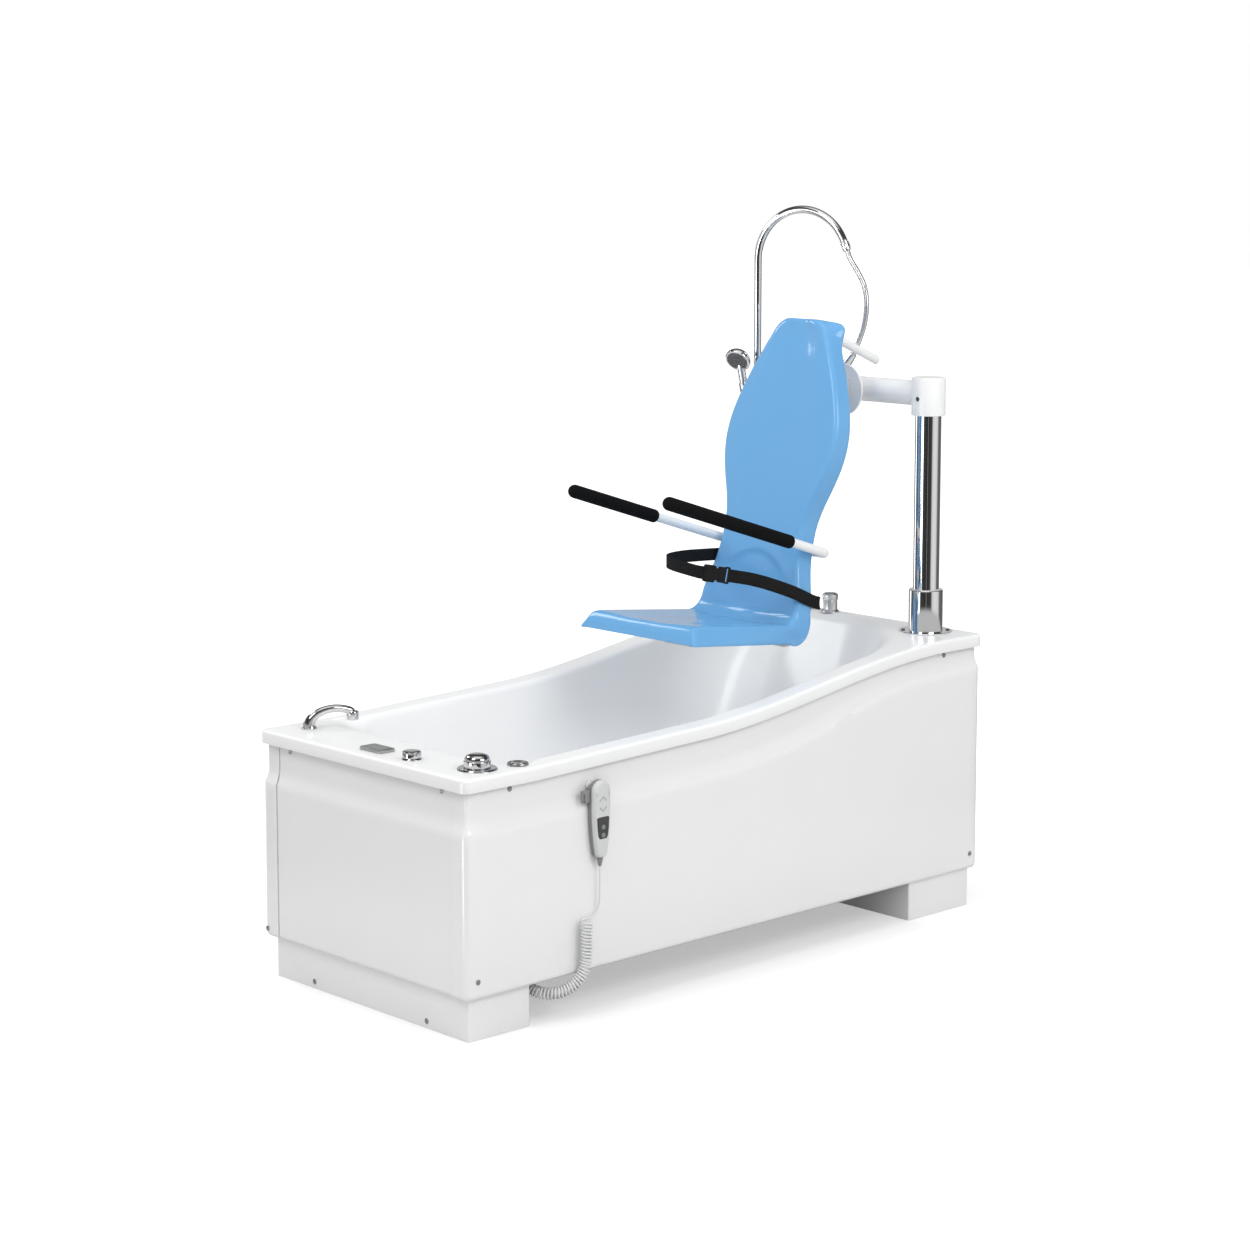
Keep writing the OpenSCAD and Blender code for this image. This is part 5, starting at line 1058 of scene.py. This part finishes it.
# Seat: one glossy sky-blue shell moulded from thermoplastic sheet, open at the rear. The pan
# tilts up a little to the front, the back is waisted, swells at the shoulders and narrows to
# the top, and a shallow arch is pressed in low on the back. It is screwed to the bracket.
SEAT_FRONT, PAN_L, PAN_TILT, RECLINE, CREASE_R = (20, 951), 425, 6.2, 15, 45
SEAT_DEPTH, SEAT_WALL, PAN_HALF, EDGE_R, BACK_FOOT_HALF = 54, 6, 222, 17, 204
BACK_SHAPE = ((70, 200), (125, 184), (180, 170), (240, 163), (300, 164), (360, 178), (420, 200), (480, 218),
              (540, 226), (600, 222), (660, 207), (720, 185), (780, 159), (840, 129), (880, 104), (905, 80),
              (920, 54))
FRONT_FLARE, FRONT_LEAN, TOP_FLARE, TOP_FLARE_L, BACK_DEEPER, HEEL = 28, 22, 66, 100, 8, 18
FRONT_TAPER, CREASE_TAPER, EDGE_DRAFT = 10, 18, 5
DISH, ARCH_RISE, ARCH_S, ARCH_FALL, ARCH_HALF = 6, 5, 196, 62, 120
ARCH_STEP, ARCH_FADE_S, ARCH_FADE_L = 16, 780, 90
seat_blue = moulded("seat_blue", (0.150, 0.390, 0.700), 0.2, grain=28, dimple=0.00004, vary=0.02, coat=0.65,
                    coat_rough=0.08, shine=0.1)
back_dir = math.radians(90 - RECLINE)
pan_dir = math.radians(-PAN_TILT)
crease_turn = back_dir - pan_dir
crease_cut = CREASE_R * math.tan(crease_turn / 2)


def ahead(a):
    return Vector((math.cos(a), math.sin(a)))


def leftward(a):
    return Vector((-math.sin(a), math.cos(a)))


crease_at = Vector(SEAT_FRONT) + PAN_L * ahead(pan_dir)
crease_start = crease_at - crease_cut * ahead(pan_dir)
crease_mid = crease_start + CREASE_R * leftward(pan_dir)
BACK_L = BACK_SHAPE[-1][0]


def back_half(s):
    """Half width of the back at a length up it, on a smooth line through the given places."""
    shape = ((0, BACK_FOOT_HALF),) + BACK_SHAPE
    for i in range(len(shape) - 1):
        if s <= shape[i + 1][0]:
            a, b, c, d = (shape[j][1] for j in (max(i - 1, 0), i, i + 1, min(i + 2, len(shape) - 1)))
            return curve_at(a, b, c, d, (s - shape[i][0]) / (shape[i + 1][0] - shape[i][0]))
    return shape[-1][1]


def seat_station(kind, t):
    """Place, direction, half width, flare, depth, lean and length up the back of one section of the shell."""
    if kind == "pan":
        p = Vector(SEAT_FRONT) + t * (PAN_L - crease_cut) * ahead(pan_dir)
        return (p, pan_dir, PAN_HALF - FRONT_TAPER * (1 - t), FRONT_FLARE * (1 - t) + EDGE_DRAFT,
                SEAT_DEPTH, FRONT_LEAN * max(0, 1 - t / 0.3), -1)
    if kind == "crease":
        a = pan_dir + crease_turn * t
        return (crease_mid - CREASE_R * leftward(a), a, PAN_HALF - CREASE_TAPER * t, EDGE_DRAFT,
                SEAT_DEPTH + BACK_DEEPER * t + HEEL * math.sin(math.pi * t), 0, 0)
    flare = EDGE_DRAFT + TOP_FLARE * max(0, (t - BACK_L) / TOP_FLARE_L + 1) ** 2
    return crease_at + t * ahead(back_dir), back_dir, back_half(t), flare, SEAT_DEPTH + BACK_DEEPER, 0, t


def seat_section(station, cap_turn=None, cap_sign=1):
    """Half-open section from one rear edge over the face to the other. cap_turn rounds it over an end."""
    p, a, w, flare, d, lean, s = station
    half = [(w + flare, -d), (w + flare * 0.75, -d * 0.75), (w + flare * 0.55, -d * 0.55)]
    for i in range(6):
        t = math.radians(18 * i)
        side = w - EDGE_R + EDGE_R * math.cos(t)
        half.append((side + flare * EDGE_R / d * math.cos(t), -EDGE_R + EDGE_R * math.sin(t)))
    face = w - EDGE_R
    for i in range(1, 13):
        q = 1 - i / 12
        rise = -DISH * (1 - smooth((q - 0.3) / 0.66))
        if s > 0:
            arch = ARCH_S - ARCH_FALL * (q * face / ARCH_HALF) ** 2
            lift = ARCH_RISE * smooth((s - arch) / ARCH_STEP) * (1 - smooth((q - 0.62) / 0.36))
            rise += lift * (1 - smooth((s - ARCH_FADE_S) / ARCH_FADE_L))
        half.append((q * face, rise))
    full = half + [(-y, n) for y, n in reversed(half[:-1])]
    made = []
    for y, n in full:
        along = 0
        if cap_turn is not None:
            if cap_turn == "wall":
                n = -d
            else:
                t = math.radians(cap_turn)
                drop = EDGE_R * 0.9 * (1 - math.cos(t))
                n = min(n, n * 0.3 - drop) if n > -drop - 0.001 else n
                along = 0 if s > 0 else -cap_sign * EDGE_R * 0.9 * (1 - math.sin(t))
            over = math.radians(90 if cap_turn == "wall" else cap_turn)
            y *= 1 - EDGE_R * 0.5 * (1 - math.cos(over)) / max(w, 60)
        q = p + n * leftward(a) + (lean * n / d + along) * ahead(a)
        made.append((q.x, y, q.y))
    return made


front_end, top_end = seat_station("pan", 0), seat_station("back", BACK_L)
seat_rings = [seat_section(front_end, "wall"), seat_section(front_end, 90, -1),
              seat_section(front_end, 60, -1), seat_section(front_end, 30, -1)]
seat_rings += [seat_section(seat_station("pan", 0.07 + 0.93 * i / 24)) for i in range(24)]
seat_rings += [seat_section(seat_station("crease", i / 9)) for i in range(10)]
back_from = crease_cut + 6
back_run = BACK_L - EDGE_R - 2 - back_from
seat_rings += [seat_section(seat_station("back", back_from + back_run * i / 92)) for i in range(93)]
for turn_over in (30, 60, 90):
    short_of_top = EDGE_R * 0.9 * (1 - math.sin(math.radians(turn_over)))
    seat_rings.append(seat_section(seat_station("back", BACK_L - short_of_top), turn_over, 1))
seat_rings.append(seat_section(top_end, "wall"))
seat_points, seat_faces = woven(seat_rings, closed=False)
seat = shaped("seat", seat_points, seat_faces, seat_blue, "chair", "seat_blue", crease=180, outward=False)
turned_out(seat.data)
faces_up(seat.data)
walled(seat, SEAT_WALL)
seat_soft = seat.modifiers.new("rounds", "SUBSURF")
seat_soft.levels = seat_soft.render_levels = 1
baked(seat, 70)
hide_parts("seat_shell")

# Armrests: two bent tubes, painted white, that turn on a pin through the seat's bracket. Each
# carries a black foam grip with a rounded end, a long one in front and a shorter one at the rear.
ARM_X, ARM_Z, ARM_TILT, ARM_Y, ARM_BEND, ARM_L, ARM_D = 597, 1101, 17.5, 198, 32, 700, 28
BOSS_HALF, GRIP_D = 92, 40
arm_tilt = math.radians(ARM_TILT)
grip_foam = moulded("grip_foam", (0.006, 0.006, 0.0065), 0.85, grain=1100, dimple=0.0004, vary=0.25,
                    shine=0.1)


def on_arm(x, y):
    return ARM_X + x * math.cos(arm_tilt), y, ARM_Z - x * math.sin(arm_tilt)


for side, arm_name, grip_name, grip_l in ((-1, "front_armrest", "grip_front", 540),
                                          (1, "back_armrest", "grip_back", 360)):
    bend = [(-ARM_BEND + ARM_BEND * math.cos(t), side * (ARM_Y - ARM_BEND + ARM_BEND * math.sin(t)))
            for t in map(math.radians, range(0, 91, 9))]
    arm_line = [(0, side * (BOSS_HALF + GAP)), (0, side * (BOSS_HALF + 30))] + bend
    arm_line += [(-ARM_L / 2, side * ARM_Y), (-ARM_L, side * ARM_Y)]
    arm_tube = path_tube(arm_name + "_tube", [Vector(on_arm(x, y)) * MM for x, y in arm_line], ARM_D * MM,
                         white_paint, sides=40)
    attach(arm_tube, arm_name)
    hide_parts("armrest_front" if side < 0 else "armrest_back")
    r = GRIP_D / 2
    profile = [(ARM_D / 2 + GAP, 0), (r - 5, 0), (r - 2, 1), (r - 0.4, 3), (r, 6)]
    profile += [(r, 6 + (grip_l - 26) * i / 24) for i in range(1, 25)]
    profile += [(r * math.cos(math.radians(t)), grip_l - 20 + 20 * math.sin(math.radians(t)))
                for t in range(15, 91, 15)]
    way_on = Vector(on_arm(-1, 0)) - Vector(on_arm(0, 0))
    grip = shaped(grip_name + "_foam", *moved(lathe(profile, 40),
                                              on_arm(-ARM_L + grip_l - 12, side * ARM_Y), way_on),
                  grip_foam, arm_name, "grip_foam", (grip_name,), crease=60)

# Lap belt: black polyester webbing in two runs, round bars behind the back's edges, and a moulded
# side-release buckle. The runs stand away from the seat in one open loop, as webbing holds its own curve.
BELT_W, BELT_T = 38, 2.4
BELT_NEAR = ((550.2, -150, 957), (550.2, -198, 958), (549.6, -206, 959), (546, -209.6, 960),
             (540, -210.2, 962), (520, -210.2, 968), (490, -209, 981), (440, -205, 1003), (370, -192, 1030),
             (300, -172, 1053), (228, -150, 1069))
BELT_FAR = ((150, -118, 1083), (141, -109, 1085), (137, -90, 1087.5), (138, -60, 1090), (144, -20, 1092),
            (158, 25, 1093), (182, 66, 1093), (220, 98, 1091), (278, 130, 1087), (352, 156, 1082),
            (430, 172, 1076), (500, 180.5, 1071), (550, 182, 1068), (558, 181.5, 1066), (566, 179, 1066),
            (570.2, 174, 1066), (570.6, 166, 1066), (570.6, 120, 1066))


webbing = moulded("webbing", (0.013, 0.013, 0.0135), 0.75, grain=1500, dimple=0.0001, vary=0.2, shine=0.12)
weave = webbing.node_tree
weave_run = node(weave, "ShaderNodeAttribute", attribute_name="run")
weave_across = node(weave, "ShaderNodeAttribute", attribute_name="across")
weave_slant = node(weave, "ShaderNodeMath", operation="ABSOLUTE")
weave_lean = node(weave, "ShaderNodeMath", {1: 0.35}, operation="MULTIPLY_ADD")
wire(weave, (weave_across, "Fac", weave_slant, 0), (weave_slant, 0, weave_lean, 0),
     (weave_run, "Fac", weave_lean, 2))
ribbed(webbing, weave_lean, 0, pitch=0.0024, height=0.0005, strength=0.6)


def strap(points, steps):
    """Webbing along a path: flat rings with rounded selvages, and each ring's run and place across."""
    path = smooth_path(points, steps)
    rings, runs, run = [], [], 0.0
    for i, p in enumerate(path):
        d = (path[min(i + 1, len(path) - 1)] - path[max(i - 1, 0)]).normalized()
        side = Vector((-d.y, d.x, 0)).normalized()
        up = d.cross(side)
        run += (p - path[i - 1]).length * MM if i else 0
        h, t = BELT_W / 2, BELT_T / 2
        edge = [(-h + 1.2, -t), (-h * 0.5, -t * 0.9), (0, -t * 0.9), (h * 0.5, -t * 0.9), (h - 1.2, -t),
                (h, 0), (h - 1.2, t), (h * 0.5, t * 0.9), (0, t * 0.9), (-h * 0.5, t * 0.9), (-h + 1.2, t),
                (-h, 0)]
        rings.append([tuple(p + up * u + side * v) for u, v in edge])
        runs += [(run, u * MM) for u, _ in edge]
    return rings, runs


belt_parts, belt_runs = [], []
for belt_line in (BELT_NEAR, BELT_FAR):
    strap_rings, strap_runs = strap(belt_line, 5)
    belt_parts.append(capped(strap_rings))
    belt_runs += strap_runs
belt_points, belt_faces = joined(*belt_parts)
belt_mesh = mesh_of("belt", belt_points, belt_faces)
for attribute_name, index in (("run", 0), ("across", 1)):
    attribute = belt_mesh.attributes.new(attribute_name, "FLOAT", "POINT")
    attribute.data.foreach_set("value", [r[index] for r in belt_runs])
turned_out(belt_mesh)
smoothed(belt_mesh, 60)
belt_mesh.materials.append(webbing)
belt = placed("belt", belt_mesh)
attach(belt, "chair")
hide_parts("lap_belt")

BUCKLE_T, BUCKLE_SPLIT = 12, 0.45
buckle_a, buckle_b = Vector(BELT_NEAR[-1]), Vector(BELT_FAR[0])
buckle_mid = (buckle_a + buckle_b) / 2
buckle_way = (buckle_b - buckle_a).normalized()
buckle_side = Vector((-buckle_way.y, buckle_way.x, 0)).normalized()
buckle_up = buckle_way.cross(buckle_side)
half_buckle = (buckle_b - buckle_a).length / 2 - GAP - 1
buckle_plastic = moulded("buckle_plastic", (0.007, 0.007, 0.0075), 0.45, grain=500, dimple=0.00006,
                         vary=0.15, shine=0.25)


def on_buckle(shape):
    """From along, up and out of the buckle's own face to its place on the belt."""
    return [tuple(buckle_mid + x * buckle_way + y * buckle_up + z * buckle_side)
            for x, y, z in shape[0]], shape[1]


def framed(x0, x1, y_half, slot_x0, slot_x1, slot_half, low, high):
    """Flat frame with one oblong slot through it."""
    outer = rounded_outline(x0, x1, -y_half, y_half, 4, 4)
    inner = rounded_outline(slot_x0, slot_x1, -slot_half, slot_half, 1.5, 4)
    return hoop(outer, inner, low, high)


split_x = -half_buckle + 2 * half_buckle * BUCKLE_SPLIT
thin = BUCKLE_T / 2
plug_shape = joined(framed(-half_buckle, -half_buckle + 17, 25, -half_buckle + 6, -half_buckle + 12, 20,
                           -3.5, 3.5), slab((split_x - half_buckle + 16) / 2, 0,
                                            (split_x + half_buckle - 17) / 2, 23, 3, -4.5, 4.5),
                    slab(split_x - 4, 0, 3.6, 21, 2, -5.2, 5.2))
socket_shape = joined(slab((split_x + half_buckle) / 2 + 4, 0, (half_buckle - split_x) / 2 - 4.4, 25, 6,
                           -thin, thin), slab(split_x + 8, 0, 7.6, 18, 3, -thin - 0.8, thin + 0.8),
                      slab(half_buckle - 8, 0, 3, 22, 1.5, -thin - 1.2, thin + 1.2),
                      slab(split_x + 20, 0, 1.5, 24, 1, -thin - 0.7, thin + 0.7))
shaped("buckle_frame", *on_buckle(plug_shape), buckle_plastic, "chair", "buckle_plastic", ("buckle_plug",),
       bevel=0.7)
shaped("buckle_body", *on_buckle(socket_shape), buckle_plastic, "chair", "buckle_plastic",
       ("buckle_socket",), bevel=0.9)

# Shower: a chromed riser on the far head corner with a gooseneck that leans over the end, a
# ribbed union where the hose starts, the cone that slides on the hose, the handset with its
# dark spray face, and the holder that clamps to the riser.
RISER_AT, RISER_D, NECK_R, NECK_Z, NECK_TURN, NECK_SWEEP = (890, 386), 24, 160, 1950, -76, 157
neck_turn = math.radians(NECK_TURN)


def on_neck(t):
    """Place on the gooseneck at an angle from its start."""
    x = NECK_R - NECK_R * math.cos(math.radians(t))
    return Vector((RISER_AT[0] + x * math.cos(neck_turn), RISER_AT[1] + x * math.sin(neck_turn),
                   NECK_Z + NECK_R * math.sin(math.radians(t))))


riser_line = [Vector((*RISER_AT, z)) for z in (HEAD_DECK_Z + 2, HEAD_DECK_Z + 300, HEAD_DECK_Z + 700,
                                               NECK_Z - 60)]
riser_line += [on_neck(t) for t in range(0, NECK_SWEEP + 1, 4)] + [on_neck(NECK_SWEEP)]
riser = path_tube("riser", [p * MM for p in riser_line], RISER_D * MM, chrome, sides=48)
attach(riser, "bath")
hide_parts("shower_riser")
turned("riser_rosette", [(10, -22), (10, 0), (25, 0), (25, 2), (22, 5), (14, 6.5), (12, 6.5)],
       on_deck(RISER_AT, HEAD_DECK_Z), "bath", ())
neck_end = on_neck(NECK_SWEEP)
neck_way = (on_neck(NECK_SWEEP) - on_neck(NECK_SWEEP - 1)).normalized()
turned("union", [(8.6, 3), (13, 3), (14, 4), (14, 9), (13, 10), (13, 11), (14, 12), (14, 21), (13, 22),
                 (13, 25), (12, 29.5), (8.6, 29.5)], tuple(neck_end), "bath", ("hose_union",),
       axis=tuple(neck_way), sides=48, flutes=12, depth=0.06, up_to=21, low=12)
cone_from, cone_to = Vector(HOSE_POINTS[7]) / MM, Vector(HOSE_POINTS[8]) / MM
turned("cone", [(9.6, 0), (10.2, 0), (10.6, 1), (13.6, 33), (14, 35), (13.4, 36), (9.6, 36)],
       tuple(cone_from), "bath", ("hose_cone",), axis=tuple(cone_to - cone_from), sides=48)

HANDSET_FOOT, HANDSET_TOP, HEAD_AT = map(Vector, ((886, 427, 1483), (856, 426, 1612), (842, 422, 1638)))
head_spin, head_tip = math.radians(196), math.radians(128)
head_way = Vector((math.sin(head_tip) * math.cos(head_spin), math.sin(head_tip) * math.sin(head_spin),
                   math.cos(head_tip)))
handle_line = smooth_path([HANDSET_FOOT, HANDSET_FOOT.lerp(HANDSET_TOP, 0.3),
                           HANDSET_FOOT.lerp(HANDSET_TOP, 0.65), HANDSET_TOP, HEAD_AT - head_way * 14], 5)
handle_shape = swept(handle_line, eased((10, 11, 12.5, 13.5, 17), 5), 32, (0, 1, 0))
head_shape = moved(lathe([(0, -22), (12, -21.5), (23, -18), (33, -12), (39, -4), (42, 4), (42, 9), (41, 12),
                          (38, 13.4), (35.6, 13.2), (35, 12.2), (0, 12.2)], 72), tuple(HEAD_AT),
                   tuple(head_way))
shaped("handset", *joined(handle_shape, head_shape), chrome, "bath", "chrome", ("shower_handset",),
       crease=35)
spray_rubber = moulded("spray_rubber", (0.10, 0.10, 0.105), 0.42, grain=700, dimple=0.00005, vary=0.1)
spray_face = moved(lathe([(0, 12), (34, 12), (34, 13.2), (32, 14), (29, 13.2), (26, 14), (20, 14),
                          (18, 13.2), (15, 14), (9, 14), (8, 13.2), (6, 14.2), (0, 14.2)], 64),
                   tuple(HEAD_AT), tuple(head_way))
shaped("spray_plate", *spray_face, spray_rubber, "bath", "grey_plastic", crease=30)
across_face = head_way.cross(Vector((0, 0, 1))).normalized()
down_face = head_way.cross(across_face)
nozzle_places = []
FACE_H = 13.6
for ring_r, count in ((12, 8), (23, 16), (31, 24)):
    for i in range(count):
        a = 2 * math.pi * i / count
        spot = HEAD_AT + head_way * FACE_H + across_face * ring_r * math.cos(a)
        spot += down_face * ring_r * math.sin(a)
        nozzle_places.append((spot, tuple(head_way)))
set_on_places("spray_nozzles", lathe([(1.4, 0), (1.3, 1.4), (0.7, 1.8), (0, 1.4)], 10), nozzle_places,
              moulded("nozzle_rubber", (0.30, 0.31, 0.32), 0.5, grain=900, dimple=0.00002), "bath")
refined("handset_holder", chrome, bevel=1.2, steps=3)

# Hand control: a rounded casing, white in front and grey behind, that hangs by a keyhole in its
# back from a white peg on the front panel, with a slotted grey tab beside it. It has two soft keys
# on a dark tapered pad, two plain raised arrows above them, and a ribbed relief for the cord.
CONTROL_X, CONTROL_BACK, CONTROL_Z, CONTROL_W, CONTROL_H = -567, -442, 426, 62, 212
HOOK_X, HOOK_Z = -579, 625
TAB_W, TAB_H, TAB_T, TAB_Z, TAB_SLOT = 30, 34, 7, 581, 5
casing_white = moulded("casing_white", (0.62, 0.625, 0.63), 0.3, grain=500, dimple=0.00004, vary=0.02,
                       coat=0.25)
casing_grey = moulded("casing_grey", (0.24, 0.243, 0.25), 0.35, grain=500, dimple=0.00004, vary=0.03,
                      coat=0.15)
pad_dark = moulded("pad_dark", (0.05, 0.051, 0.054), 0.4, grain=800, dimple=0.00003, vary=0.12)


def control_outline(inset):
    a, h, foot_r = CONTROL_W / 2 - inset, CONTROL_H, 14
    made = [(a * 0.62 * math.cos(t), inset + foot_r + foot_r * math.sin(t))
            for t in map(math.radians, range(180, 361, 15))]
    made += [(a * 0.8, h * 0.22), (a * 0.9, h * 0.36), (a * 0.97, h * 0.5), (a, h * 0.66), (a, h * 0.84)]
    made += [(a * math.cos(math.radians(t)), h * 0.86 - inset + h * 0.14 * math.sin(math.radians(t)))
             for t in range(0, 181, 12)]
    return made + [(-a, h * 0.84), (-a, h * 0.66), (-a * 0.97, h * 0.5), (-a * 0.9, h * 0.36),
                   (-a * 0.8, h * 0.22)]


def on_control(x, z, out):
    return (CONTROL_X + x, CONTROL_BACK - out, CONTROL_Z + z)


CASING_STEPS = ((2.5, 0), (0.6, 1), (0, 3), (0, 14), (0, 14.4), (0.5, 18.5), (2, 22), (4.5, 24.4),
                (8, 25.7), (12, 26))
casing_rings = [[on_control(x, z, out) for x, z in control_outline(inset)] for inset, out in CASING_STEPS]
casing = shaped("casing", *capped(casing_rings), casing_white, "bath", "control_plastic",
                ("control_casing",), crease=40)
casing.data.materials.append(casing_grey)
for face in casing.data.polygons:
    if face.center.y > (CONTROL_BACK - 14) * MM:
        face.material_index = 1
tab_x = CONTROL_X - CONTROL_W / 2 - TAB_W + 2
tab_line = [(0, 0), (5, 0), (5, TAB_H * 0.7), (5 + TAB_SLOT, TAB_H * 0.7), (5 + TAB_SLOT, 0), (TAB_W, 0),
            (TAB_W, TAB_H), (3, TAB_H), (0, TAB_H - 3)]
tab_shape = capped([[(tab_x + x, CONTROL_BACK - 2 - out, TAB_Z + z) for x, z in tab_line]
                    for out in (0, TAB_T)])
shaped("casing_tab", *tab_shape, casing_grey, "bath", "control_plastic", bevel=1.0)
pad_line = [(-22, 0), (-20, -30), (-17, -50), (-12, -57), (12, -57), (17, -50), (20, -30), (22, 0),
            (16, 2.5), (-16, 2.5)]
PAD_TOP = 111
pad_shape = capped([[on_control(x, PAD_TOP + z, out) for x, z in pad_line] for out in (24.4, 26.6)])
shaped("key_pad", *pad_shape, pad_dark, "bath", "control_plastic", bevel=0.5)
KEY_SET = 21.4
for key_z, key_body, key_node in ((86, "key_up", "raise_key"), (64, "key_down", "lower_key")):
    key_rubber = moulded(key_node + "_rubber", (0.22, 0.225, 0.235), 0.45, grain=700, dimple=0.00003)
    turned(key_node + "_cap", [(6.5, 0), (6.5, 6.3), (6, 7), (4.6, 7.3), (0, 7.1)],
           on_control(0, key_z, KEY_SET), key_body, (key_node,), finish=key_rubber, slot="control_plastic",
           axis=(0, -1, 0), sides=32, bevel=0)
arrow_grey = moulded("arrow_grey", (0.42, 0.425, 0.43), 0.4, grain=500, dimple=0.00002, vary=0.02)
CHEVRON = ((-14, -5), (0, 8), (14, -5), (11, -8), (0, 2), (-11, -8))
for arrow_name, arrow_z, way_up in (("arrow_up", 163, 1), ("arrow_down", 134, -1)):
    mark = capped([[on_control(x, arrow_z + way_up * z, out) for x, z in CHEVRON] for out in (25, 26.5)])
    shaped(arrow_name, *mark, arrow_grey, "bath", "control_plastic", bevel=0.4)
turned("hook", [(16, 0), (16, 4), (14, 6), (4, 6), (4, 17.3), (7, 17.3), (7, 21.6), (6, 22.6), (0, 22.6)],
       (HOOK_X, -(PANEL_Y - RECESS_D), HOOK_Z), "bath", ("control_hook",), finish=white_paint,
       slot="white_paint", axis=(0, -1, 0), sides=48, bevel=0.6)
relief_profile = [(2.9, 0), (4.2, 0)]
for i in range(1, 9):
    relief_profile += [(4.0 + 0.5 * i, 2.6 * i - 1.4), (4.4 + 0.5 * i, 2.6 * i - 1.2),
                       (4.4 + 0.5 * i, 2.6 * i - 0.2)]
turned("relief", relief_profile + [(8.7, 22)], on_control(0, -22, 13), "bath", ("cord_relief",),
       finish=casing_grey, slot="cord_plastic", sides=32, bevel=0)

# Below the shell: a welded frame of square tube on four rubber levelling feet, the lift's housing,
# bushes and actuator, the brass mixing valve, the waste with its trap, and the control box.
frame_paint = moulded("frame_paint", (0.16, 0.165, 0.17), 0.45, grain=350, dimple=0.00006, vary=0.05)
foot_rubber = moulded("foot_rubber", (0.02, 0.02, 0.02), 0.75, grain=600, dimple=0.0001, vary=0.2)
valve_brass = moulded("valve_brass", (0.62, 0.42, 0.16), 0.3, grain=260, dimple=0.00004, vary=0.08,
                      metal=1.0)
grey_plastic = moulded("grey_plastic", (0.34, 0.345, 0.35), 0.45, grain=420, dimple=0.00005, vary=0.05)
bush_plastic = moulded("bush_plastic", (0.78, 0.76, 0.68), 0.35, grain=400, dimple=0.00003)
actuator_paint = moulded("actuator_paint", (0.12, 0.13, 0.14), 0.4, grain=300, dimple=0.00004, vary=0.05)
for node_name, finish, slot_name, softened in (("underframe", frame_paint, "frame_paint", 2.0),
                                               ("levelling_feet", foot_rubber, "foot_rubber", 1.0),
                                               ("mixing_valve", valve_brass, "valve_brass", 0.8),
                                               ("waste_outlet", chrome, "chrome", 0.5),
                                               ("waste_plug", chrome, "chrome", 0.8),
                                               ("waste_trap", grey_plastic, "grey_plastic", 1.0),
                                               ("column_housing", frame_paint, "frame_paint", 0.5),
                                               ("guide_bushes", bush_plastic, "bush_plastic", 0.5),
                                               ("lift_actuator", actuator_paint, "actuator_paint", 0.8),
                                               ("actuator_rod", screw_steel, "rod_steel", 0.8),
                                               ("control_box", grey_plastic, "grey_plastic", 4.0),
                                               ("cord_gland", casing_grey, "cord_plastic", 0.6)):
    refined(node_name, finish, bevel=softened)
